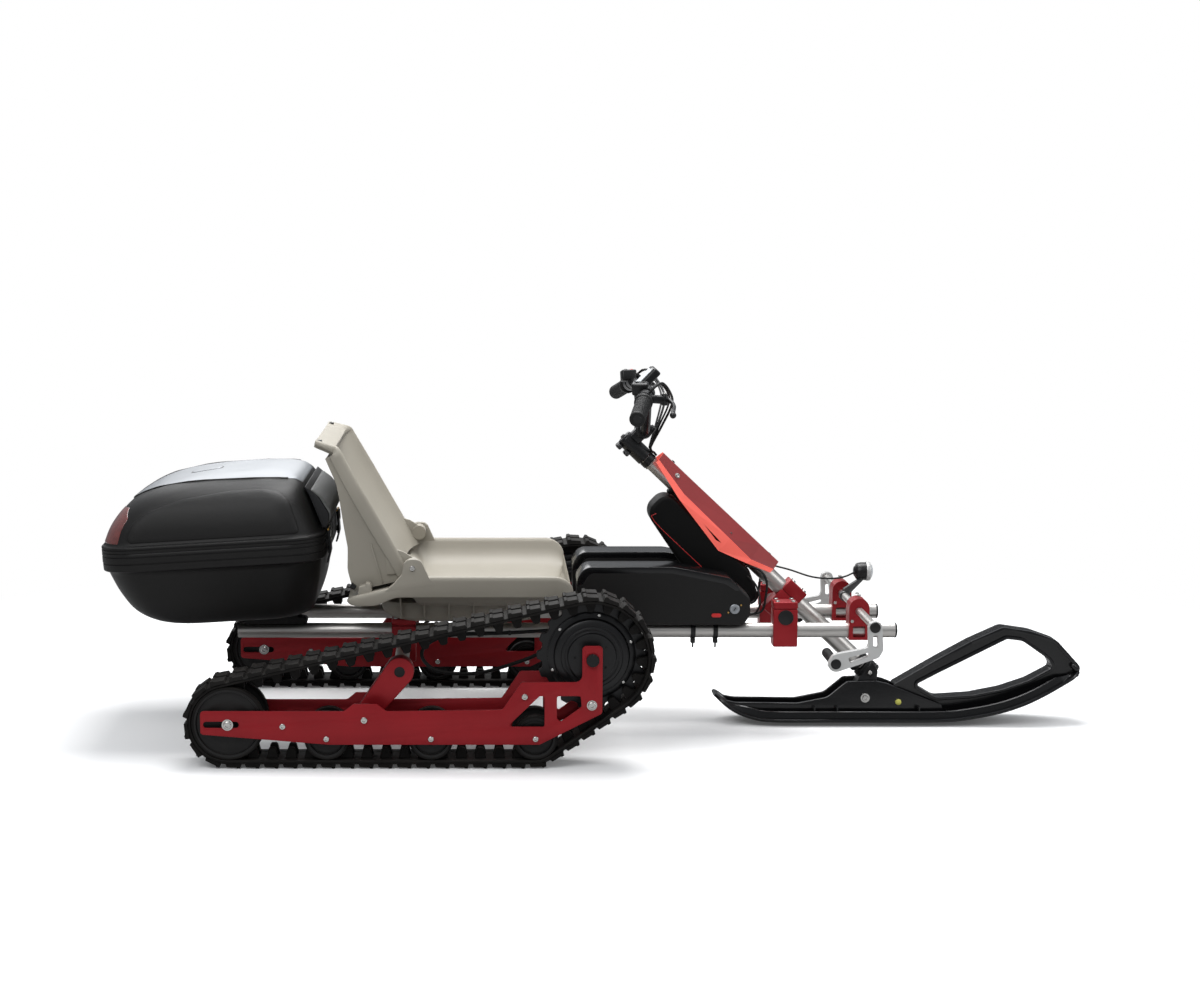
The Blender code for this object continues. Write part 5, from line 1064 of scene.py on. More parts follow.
def grown(loop, distance):
    """An outline moved outward by a distance, or inward by a negative one."""
    area = sum(a.x * b.y - b.x * a.y for a, b in zip(loop, [*loop[1:], loop[0]]))
    sign = 1 if area > 0 else -1
    found = []
    for before, here, after in zip([loop[-1], *loop], loop, [*loop[1:], loop[0]]):
        run = (after - before).normalized()
        found.append(here + Vector((run.y, -run.x)) * sign * distance)
    return found


def build_ski():
    low = 0.009
    under = smooth_route([(x, 0, z) for x, z in ((0.252, 0.06), (0.292, 0.029), (0.335, low + 0.0045), (0.385, low),
        (0.55, low), (0.735, low), (0.81, low + 0.0065), (0.89, low + 0.0235), (0.968, low + 0.0535),
        (1.03, low + 0.084), (1.058, low + 0.102))], 0.014)
    sections = []
    for index, point in enumerate(under):
        before, after = under[max(index - 1, 0)], under[min(index + 1, len(under) - 1)]
        run = (after - before).normalized()
        up = Vector((-run.z, 0, run.x))
        half = min(0.07, 0.046 + 0.024 * ease(point.x, 0.25, 0.4), 0.044 + 0.026 * (1 - ease(point.x, 0.92, 1.055)))
        if point.x < 0.275:
            half -= 0.02 * ((0.275 - point.x) / 0.023) ** 2
        if point.x > 1.035:
            half -= 0.016 * ((point.x - 1.035) / 0.023) ** 2
        rail = 0.012 * ease(point.x, 0.27, 0.32) * (1 - ease(point.x, 1.01, 1.045))
        profile = [(0, 0.0085), (half - 0.022, 0.0085), (half - 0.02, 0.0085 + rail), (half - 0.0175, 0.01 + rail),
            (half - 0.015, 0.0085 + rail), (half - 0.013, 0.008), (half - 0.0035, 0.0076), (half - 0.001, 0.0066),
            (half, 0.0045), (half, 0.0024), (half - 0.0012, 0.0006), (half - 0.0035, 0), (0, 0)]
        sections.append([point + up * z + Vector((0, y, 0)) for y, z in mirrored(profile)])
    shape = bmesh.new()
    add(shape, loft(sections))
    keel = rounded([(0.4, low + 0.002, 0), (0.415, 0, 0.012), (0.728, 0, 0.012), (0.75, low + 0.002, 0)], 4)
    add(shape, prism([keel], -0.008, 0.008, 0.0012, 2))
    outer = rounded([(0.64, low + 0.006, 0), (0.65, 0.085, 0.01), (0.743, 0.14, 0.1), (0.817, 0.181, 0.1),
        (0.886, 0.2124, 0.024), (0.95, 0.203, 0.08), (1.006, 0.183, 0.03), (1.038, 0.148, 0.03),
        (1.059, 0.125, 0.014), (1.056, 0.103, 0.006), (0.968, 0.066, 0.06), (0.89, 0.036, 0.08), (0.81, 0.019, 0.06),
        (0.74, 0.013, 0)], 6)
    hole = rounded([(0.696, 0.083, 0.006), (0.745, 0.109, 0.1), (0.896, 0.186, 0.012), (0.93, 0.182, 0.03),
        (0.99, 0.14, 0.024), (0.999, 0.122, 0.01), (0.945, 0.093, 0.08), (0.888, 0.0735, 0.08), (0.82, 0.06, 0.08),
        (0.742, 0.055, 0.03)], 6)
    add(shape, prism([outer, hole], -0.0165, 0.0165))
    add(shape, prism([outer, grown(outer, -0.0075)], -0.023, 0.023, 0.0016, 2))
    add(shape, prism([grown(hole, 0.007), hole], -0.023, 0.023, 0.0016, 2))
    panel = rounded([(0.264, 0.0535, 0.004), (0.3, 0.0465, 0.06), (0.4375, 0.045, 0.04), (0.502, 0.058, 0.03),
        (0.544, 0.093, 0.012), (0.605, 0.095, 0.012), (0.632, 0.089, 0.02), (0.755, 0.04, 0.012), (0.76, 0.015, 0),
        (0.385, 0.015, 0), (0.335, 0.019, 0), (0.292, 0.038, 0)], 6)
    for side in (-1, 1):
        add(shape, slab(panel, side, 0.0245, 0.0325, 0.0016, 3))
        for x in (0.47, 0.52, 0.7):
            rib = rounded([(x, 0.015, 0), (x + 0.003, 0.015, 0), (x + 0.003, 0.04, 0), (x, 0.04, 0)], 1)
            add(shape, slab(rib, side, 0.0325, 0.05))
    add(shape, box_shape((0.02, 0.06, 0.012), (1.046, 0, 0.123), Matrix.Rotation(0.9, 3, "Y"), 0.005, 3))
    piece("ski_runner", shape, ["gloss"], "ski", ["ski"])


def build_ski_fittings():
    """Bolts through the saddle and the runner, and the boot at the column's foot."""
    shape = bmesh.new()
    for side in (-1, 1):
        face = side * 0.0325
        add(shape, bolt((BOLT_X, face + side * 0.004, BOLT_Z), (0, side, 0), 0.0068, 0.0102, 0.0045))
        add(shape, lathe([(0, 0.0024), (0.0052, 0.0024), (0.0064, 0.0014), (0.0066, 0), (0, 0)],
            (0.658, face, 0.0475), (0, side, 0), 32), 1)
        for x in (0.442, 0.505):
            add(shape, bolt((x, side * 0.032, 0.0195), (0, 0, 1), 0.0052, 0.0078))
        add(shape, bolt((0.772, side * 0.03, 0.0225), (0, 0, 1), 0.0045, height=0.003), 2)
    piece("ski_bolts", shape, ["steel", "yellow", "dark_steel"], "ski")
    foot = column_point(0.2266)
    shape = bmesh.new()
    rings = [(0, 0), (0.0225, 0), (0.0245, 0.0015)]
    for number in range(4):
        base = 0.004 + number * 0.0062
        rings += [(0.0245, base), (0.0228, base + 0.0016), (0.0228, base + 0.003), (0.0245, base + 0.0046)]
    rings += [(0.024, 0.0296), (0, 0.0296)]
    add(shape, lathe(rings, foot, AHEAD_DOWN, 52))
    bolt_place = Vector((BOLT_X, 0, BOLT_Z))
    neck = [(p.x, p.z) for p in (foot + AHEAD_DOWN * 0.01 + AHEAD_UP * 0.021, foot + AHEAD_DOWN * 0.032 + AHEAD_UP
        * 0.014, bolt_place + Vector((0.022, 0, 0.004)), bolt_place + Vector((0.012, 0, -0.014)), bolt_place
        + Vector((-0.014, 0, -0.014)), bolt_place + Vector((-0.029, 0, 0.004)), foot + AHEAD_DOWN * 0.01 - AHEAD_UP
        * 0.022)]
    add(shape, prism([neck], -0.0228, 0.0228, 0.0022, 2), 1)
    for side in (-1, 1):
        add(shape, bolt(foot + AHEAD_DOWN * 0.02 + Vector((0, side * 0.0236, 0)), (0, side, 0), 0.005), 2)
    piece("ski_boot", shape, ["soft_rubber", "black_metal", "steel"], "steering", ["ski_bracket"])


def build_leads():
    x, z, _ = DRIVE
    for side, word in SIDES:
        inner = side * (GAUGE / 2 - PLATE_MIDDLE - PLATE_THICK / 2 - 0.008)
        reach = side * (FRAME_HALF + FRAME_RADIUS)
        route = [(x - 0.012, inner - side * 0.012, z), (x - 0.05, inner - side * 0.03, z + 0.004),
            (-0.18, side * 0.285, 0.19), (-0.27, side * 0.26, 0.16), (-0.35, side * 0.23, 0.158),
            (-0.385, side * 0.19, 0.176), (-0.38, side * 0.15, 0.196), (-0.33, reach + side * 0.006, 0.216),
            (-0.2, reach + side * 0.0045, 0.222), (-0.075, reach + side * 0.0045, 0.23)]
        shape = bmesh.new()
        add(shape, pipe(smooth_route(route, 0.01), 0.0038, 18))
        for share in (3, 8):
            place = Vector(route[share])
            add(shape, box_shape((0.006, 0.01, 0.0095), place, None, 0.001, 1), 1)
        piece(f"motor_cable_{word}", shape, ["soft_rubber", "plastic"], "chassis", [f"motor_lead_{word}"])
    route = [(0.385, 0, 0.346), (0.42, 0.006, 0.336), (0.47, 0.022, 0.318), (0.515, 0.04, 0.311),
        (0.548, 0.054, 0.313), (0.5685, 0.06, 0.3205)]
    piece("lamp_cable", pipe(smooth_route(route, 0.008), 0.0019, 14), ["soft_rubber"], "chassis", ["lamp_lead"])


# Seat

def loft(loops):
    """A closed body through loops that have the same number of points."""
    shape = bmesh.new()
    rings = [[shape.verts.new(point) for point in loop] for loop in loops]
    for first, second in zip(rings, rings[1:]):
        for i in range(len(first)):
            after = (i + 1) % len(first)
            shape.faces.new((first[i], first[after], second[after], second[i]))
    shape.faces.new(rings[0])
    shape.faces.new(list(reversed(rings[-1])))
    bmesh.ops.triangulate(shape, faces=[f for f in shape.faces if len(f.verts) > 4])
    return shape


def ease(value, low, high):
    share = min(1, max(0, (value - low) / (high - low)))
    return share * share * (3 - 2 * share)


def mirrored(half):
    """A closed loop from half of one that starts and ends on the middle plane."""
    return half + [(-y, z) for y, z in reversed(half[1:-1])]


def pan_loop(x):
    """The bucket's section at one place along the kart."""
    shelf = 0.352 + 0.236 * (x + 0.42)
    rim = shelf + (0.368 - shelf) * ease(x, -0.432, -0.412)
    low = 0.324 - 0.018 * (1 - ease(x, -0.49, -0.43))
    half = 0.285
    floor = 0.3025 + (rim - 0.006 - 0.3025) * (1 - ease(x, -0.44, -0.385))
    corner = (x + 0.112) / 0.044
    if corner > 0:
        bend = 1 - math.sqrt(max(0, 1 - corner * corner))
        rim -= 0.04 * bend
        half -= 0.03 * bend
        floor -= 0.01 * bend
        low -= 0.006 * bend
    tail = (-0.515 - x) / 0.026
    if tail > 0:
        bend = 1 - math.sqrt(max(0, 1 - tail * tail))
        middle = (rim + low) / 2
        rim -= (rim - middle) * bend * 0.92
        low += (middle - low) * bend * 0.92
        half -= 0.02 * bend
        floor = min(floor, rim - 0.003)
    lift = rim - floor
    under = min(floor - 0.0055, low + 0.01)
    points = [(0, floor), (0.3 * half, floor + 0.0003), (0.52 * half, floor + 0.0012),
        (0.68 * half, floor + lift * 0.05), (0.78 * half, floor + lift * 0.13), (0.855 * half, floor + lift * 0.27),
        (0.905 * half, floor + lift * 0.47), (0.932 * half, floor + lift * 0.68),
        (0.944 * half, floor + lift * 0.86), (half - 0.0125, rim - lift * 0.03), (half - 0.0095, rim - 0.0005),
        (half - 0.0065, rim), (half - 0.003, rim - 0.0009), (half - 0.0006, rim - 0.0036),
        (half, rim - min(0.01, (rim - low) * 0.4)), (half, low + min(0.004, (rim - low) / 4)),
        (half - 0.001, low + 0.0008), (half - 0.0036, low), (half - 0.0066, low + 0.0006),
        (0.945 * half, low + 0.0012), (0.9 * half, (low + under) / 2), (0.82 * half, under + 0.001),
        (0.7 * half, under), (0.3 * half, under), (0, under)]
    dip = 0.02 * ease(x, -0.22, -0.075)
    return [Vector((x - dip * (1 - min(1, (y / 0.26) ** 2)), y, z)) for y, z in mirrored(points)]


def build_pan():
    places = [-0.5408, -0.5398, -0.537, -0.533, -0.528, -0.522, -0.515]
    while places[-1] < -0.118:
        places.append(places[-1] + 0.0085)
    places += [-0.108, -0.101, -0.094, -0.087, -0.081, -0.0755, -0.0715, -0.0692, -0.0682]
    shape = bmesh.new()
    add(shape, loft([pan_loop(x) for x in places]))

    rings = []
    for z, inset in ((0.2526, 0.044), (0.2532, 0.034), (0.2562, 0.022), (0.262, 0.012), (0.271, 0.005),
            (0.28, 0.0015), (0.29, 0), (0.2992, 0.0005)):
        rear = -0.475 + inset * 1.6
        front, half = -0.12 - inset, 0.205 - inset
        plan = rounded([(rear, -half, 0.06), (front, -half, 0.06), (front, half, 0.06), (rear, half, 0.06)], 8)
        rings.append([Vector((p.x, p.y, z)) for p in plan])
    add(shape, loft(rings))
    for side in (-1, 1):
        for x in (-0.43, -0.381, -0.329, -0.277, -0.207, -0.16):
            fin = [Vector(p) for p in ((0.196, 0.266), (0.2105, 0.266), (0.262, 0.318), (0.264, 0.328),
                (0.245, 0.313), (0.196, 0.2975))]
            add(shape, prism([fin], x - 0.0016, x + 0.0016, 0.0008, 2, lambda u, v, w: Vector((w, side * u, v))))
    hinge_x, hinge_z = SEAT_HINGE
    ear = rounded([(hinge_x - 0.06, 0.336, 0), (hinge_x + 0.052, 0.35, 0), (hinge_x + 0.034, 0.3665, 0.014),
        (hinge_x + 0.0165, 0.4045, 0.0165), (hinge_x - 0.0165, 0.4045, 0.0165), (hinge_x - 0.022, 0.372, 0.014),
        (hinge_x - 0.04, 0.352, 0.012)], 8)
    for side in (-1, 1):
        add(shape, slab(ear, side, 0.2702, 0.2852, 0.0016, 3))
        add(shape, bolt((hinge_x, side * 0.285, hinge_z), (0, side, 0), 0.0058, height=0.0036), 1)
        lug = rounded([(-0.519, 0.322, 0), (-0.488, 0.328, 0), (-0.4905, 0.352, 0.006), (-0.5, 0.3545, 0.003),
            (-0.503, 0.349, 0.003), (-0.515, 0.346, 0.005)], 5)
        add(shape, slab(lug, side, 0.246, 0.278, 0.0022))
        clip = [Vector(p) for p in ((-0.536, 0.34), (-0.526, 0.336), (-0.521, 0.343), (-0.531, 0.351))]
        add(shape, slab(clip, side, 0.244, 0.26, 0.001), 2)
    piece("seat_bucket", shape, ["seat", "steel", "plastic"], "chassis", ["seat_pan"])


def back_loop(point, inward, half, dish, flange, depth):
    """The seat back's section: a scooped face between two wings, with side walls behind it."""
    depth = max(depth, flange + 0.006, dish + 0.009)
    points = [(0, dish), (0.25 * half, dish * 0.995), (0.46 * half, dish * 0.965), (0.62 * half, dish * 0.89),
        (0.74 * half, dish * 0.765), (0.825 * half, dish * 0.6), (0.885 * half, dish * 0.4),
        (0.925 * half, dish * 0.18), (half - 0.013, dish * 0.04), (half - 0.01, 0.0003), (half - 0.0072, 0),
        (half - 0.0036, 0.001), (half - 0.001, 0.0036), (half, 0.008), (half, flange - 0.0035),
        (half - 0.001, flange - 0.0008), (half - 0.0036, flange), (half - 0.0092, flange + 0.0006),
        (half - 0.0106, flange + 0.003), (half - 0.011, depth - 0.0006), (half - 0.012, depth),
        (half - 0.015, depth), (half - 0.016, depth - 0.0006), (half - 0.017, min(dish + 0.0075, depth - 0.0008)),
        (0.8 * half, dish + 0.007), (0.46 * half, dish + 0.006), (0, dish + 0.006)]
    return [(y, point + inward * d) for y, d in points]


def build_seat_back():
    low = Vector((-0.4215, 0.392))
    high = Vector((-0.565, 0.645))
    height = (high - low).length
    depths = [(0, 0.124), (0.0445, 0.1121), (0.0843, 0.0885), (0.1268, 0.0736), (0.1816, 0.0528), (0.2548, 0.0297),
        (0.4, 0.0297)]
    lean = (high - low).normalized()
    inward = Vector((-lean.y, lean.x))
    stations = []
    step = 0.0095
    count = int((height - 0.022) / step)
    for number in range(count + 1):
        along = number * (height - 0.022) / count
        depth = next(b + (d - b) * (along - a) / (c - a) for (a, b), (c, d) in zip(depths, depths[1:]) if along <= c)
        flange = 0.0265 + 0.003 * math.sin(math.pi * min(1, along / height))
        taper = 0.014 * ease(along, 0.16, height)
        dish = 0.026 + 0.01 * math.sin(math.pi * along / height)
        stations.append((low + lean * along, inward, 0.25 - taper, dish, flange, depth))
    turn_at = low + lean * (height - 0.022)
    radius = 0.02
    middle = turn_at + inward * radius
    for number in range(1, 8):
        angle = math.radians(46) * number / 7
        outward = Matrix.Rotation(angle, 2) @ -inward
        share = number / 7
        stations.append((middle + outward * radius, -outward, 0.236 - 0.006 * share * share, 0.0265 - 0.017 * share,
            0.027 - 0.011 * share, 0.036 - 0.016 * share))
    last = stations[-1]
    back = Vector((last[1].y, -last[1].x))
    if back.x > 0:
        back = -back
    for along, half, dish, flange in ((0.01, 0.229, 0.0075, 0.014), (0.024, 0.227, 0.0055, 0.012),
            (0.036, 0.223, 0.0046, 0.0108), (0.042, 0.217, 0.0042, 0.01)):
        stations.append((last[0] + back * along, last[1], half, dish, flange, 0.0155))
    loops = []
    for index, station in enumerate(stations):
        half_loop = back_loop(*station)
        loop = half_loop + [(-y, p) for y, p in reversed(half_loop[1:-1])]
        moved = []
        for y, p in loop:
            if index == 0:
                reach = (0.352 + 0.0035 + 0.236 * (p.x + 0.42) - p.y) / (lean.y - lean.x * 0.236)
                p = p + lean * reach
            moved.append(Vector((p.x, y, p.y)))
        loops.append(moved)
    first_low = loops[0]
    second = [Vector(first).lerp(Vector(after), 0.5) for first, after in zip(first_low, loops[1])]
    loops.insert(1, second)
    shape = bmesh.new()
    add(shape, loft(loops))
    hinge_x, hinge_z = SEAT_HINGE
    web = rounded([(hinge_x + 0.0155, hinge_z + 0.004, 0.012), (hinge_x, hinge_z + 0.0165, 0.014),
        (-0.425, 0.415, 0.008), (-0.46, 0.425, 0), (-0.46, 0.366, 0), (hinge_x - 0.004, hinge_z - 0.016, 0.014)], 6)
    for side in (-1, 1):
        add(shape, lathe(band(0, 0.0165, 0.0175, 0.001, 0.001), (hinge_x, side * 0.2515, hinge_z), (0, side, 0), 44))
        add(shape, slab(web, side, 0.236, 0.244, 0.0012))
        rib = [Vector(p) for p in ((-0.47, 0.348), (-0.466, 0.349), (-0.49, 0.43), (-0.493, 0.429))]
        add(shape, slab(rib, side, 0.237, 0.242, 0.001))
        clip = [Vector(p) for p in ((-0.606, 0.633), (-0.596, 0.633), (-0.595, 0.644), (-0.605, 0.645))]
        add(shape, slab(clip, side, 0.19, 0.206, 0.001), 1)
    piece("seat_back_shell", shape, ["seat", "plastic"], "seat_back", ["seat_back"])


# Top case

CASE = Matrix.Translation((-0.795, 0, 0.26)) @ Matrix.Rotation(-math.radians(3.4), 4, "Y")
CASE_FRONT, CASE_REAR, CASE_HALF, SPLIT, WALL = 0.212, -0.25, 0.285, 0.166, 0.004
LID_LOW = SPLIT + 0.0006


def case_ring(height, front, rear, half, bulge, steps=10):
    """Round the case at one height; front, rear and half are changes from its rim."""
    front, rear, half = CASE_FRONT + front, CASE_REAR + rear, CASE_HALF + half
    corner = min(0.07, half * 0.9)
    flat = half - corner
    swell = bulge * (1 - (flat / half) ** 2)
    turn = [((corner + swell) * math.cos(angle) - corner, flat + corner * math.sin(angle)) for angle
        in (math.pi / 2 * (i + 1) / steps for i in range(steps))]
    face = [(bulge * (1 - (share * flat / half) ** 2), share * flat) for share
        in (i / steps for i in range(-steps, steps + 1))]
    end = [(x, -y) for x, y in reversed(turn)] + face + turn
    return [Vector((place + sign * x, sign * y, height)) for sign, place in ((1, front), (-1, rear)) for x, y in end]


def between(keys, steps):
    """Rows of numbers on a smooth curve through the key rows."""
    padded = [[2 * a - b for a, b in zip(keys[0], keys[1])], *keys, [2 * a - b for a, b in zip(keys[-1], keys[-2])]]
    found = []
    for a, b, c, d in zip(padded, padded[1:], padded[2:], padded[3:]):
        for step in range(steps):
            t = step / steps
            found.append([0.5 * (2 * q + (r - p) * t + (2 * p - 5 * q + 4 * r - s) * t * t + (3 * q - p - 3 * r + s)
                * t ** 3) for p, q, r, s in zip(a, b, c, d)])
    return [*found, list(keys[-1])]


def case_shell(rim, body, inner_rim, sink):
    """A closed shell: rim rows are crisp and body rows smooth; sink moves the inner end off the outer one."""
    outer = [case_ring(*row) for row in rim + between(body, 6)]
    thin = [[row[0] + sink * WALL * ease(index, 1, len(body) - 1), row[1] - WALL, row[2] + WALL, row[3] - WALL,
        row[4]] for index, row in enumerate(body)]
    inner = [case_ring(*row) for row in inner_rim + between(thin, 4)]
    return loft(list(reversed(outer)) + inner)


def lid_rows():
    low = LID_LOW
    rim = [(low, -0.0005, 0.0005, -0.0005, 0.006), (low + 0.0006, 0, 0, 0, 0.006), (low + 0.0058, 0, 0, 0, 0.006),
        (low + 0.0064, -0.0013, 0.0013, -0.0013, 0.006), (low + 0.0078, -0.0013, 0.0013, -0.0013, 0.006),
        (low + 0.0084, 0, 0, 0, 0.006), (low + 0.0116, 0, 0, 0, 0.006),
        (low + 0.0129, -0.0008, 0.0008, -0.0008, 0.006), (low + 0.0138, -0.0028, 0.0024, -0.0026, 0.0065),
        (low + 0.0144, -0.0078, 0.005, -0.0066, 0.0075)]
    body = [(low + 0.016, -0.01, 0.006, -0.008, 0.008), (low + 0.055, -0.024, 0.026, -0.014, 0.01),
        (low + 0.09, -0.036, 0.058, -0.028, 0.01), (low + 0.115, -0.05, 0.108, -0.056, 0.01),
        (low + 0.13, -0.07, 0.172, -0.105, 0.006), (low + 0.1372, -0.105, 0.23, -0.16, 0.002),
        (low + 0.138, -0.15, 0.262, -0.215, 0)]
    return rim, body


SKIN_SUNK = 0.0015


def edge_distance(loop, point):
    best = 1
    for a, b in zip(loop, [*loop[1:], loop[0]]):
        run = b - a
        share = min(1, max(0, (point - a).dot(run) / max(run.dot(run), 1e-12)))
        best = min(best, (a + run * share - point).length)
    return best


def cast_patch(tree, outline, start, toward, height, edge, spacing=0.008):
    """A skin laid on a surface inside an outline, with a rounded border; start(u, v) gives each ray's origin."""
    loop = []
    for a, b in zip(outline, [*outline[1:], outline[0]]):
        parts = max(1, math.ceil((b - a).length / (spacing * 0.6)))
        loop += [a.lerp(b, i / parts) for i in range(parts)]
    points = [p.copy() for p in loop]
    sides = [(i, (i + 1) % len(loop)) for i in range(len(loop))]
    for share in (0.12, 0.35, 0.65, 1):
        for before, here, after in zip([loop[-1], *loop], loop, [*loop[1:], loop[0]]):
            run = (after - before).normalized()
            for turn in (1, -1):
                moved = here + Vector((-run.y, run.x)) * turn * edge * share
                if within(loop, *moved) and edge_distance(loop, moved) > edge * share * 0.97:
                    points.append(moved)
    lows = [min(p[k] for p in loop) for k in (0, 1)]
    highs = [max(p[k] for p in loop) for k in (0, 1)]
    across = int((highs[0] - lows[0]) / spacing) + 1
    along = int((highs[1] - lows[1]) / spacing) + 1
    for i in range(across):
        for j in range(along):
            spot = Vector((lows[0] + (i + 0.5) * spacing, lows[1] + (j + 0.5) * spacing))
            if within(loop, *spot) and edge_distance(loop, spot) > edge + spacing * 0.5:
                points.append(spot)
    spots, _, faces = geometry.delaunay_2d_cdt(points, sides, [], 1, 0.00002)[:3]
    shape = bmesh.new()
    toward = Vector(toward)
    tops, lows = [], []
    for spot in spots:
        origin = start(*spot)
        hit, normal, _, _ = tree.ray_cast(origin, toward)
        if hit is None:
            hit, normal, _, _ = tree.find_nearest(origin)
        if normal.dot(toward) > 0:
            normal = -normal
        share = min(1, edge_distance(loop, spot) / edge)
        lift = height * math.sqrt(max(0, 1 - (1 - share) ** 2)) - 0.0003
        tops.append(shape.verts.new(hit + normal * lift))
        lows.append(shape.verts.new(hit - normal * SKIN_SUNK))
    used = {}
    for face in faces:
        shape.faces.new([tops[i] for i in face])
        shape.faces.new([lows[i] for i in reversed(face)])
        for a, b in zip(face, [*face[1:], face[0]]):
            used[(a, b)] = used.get((a, b), 0) + 1
    for a, b in list(used):
        if (b, a) not in used:
            shape.faces.new((tops[b], tops[a], lows[a], lows[b]))
    loose = [v for v in shape.verts if not v.link_faces]
    bmesh.ops.delete(shape, geom=loose, context="VERTS")
    return shape


def placed(shape):
    bmesh.ops.transform(shape, matrix=CASE, verts=shape.verts)
    return shape


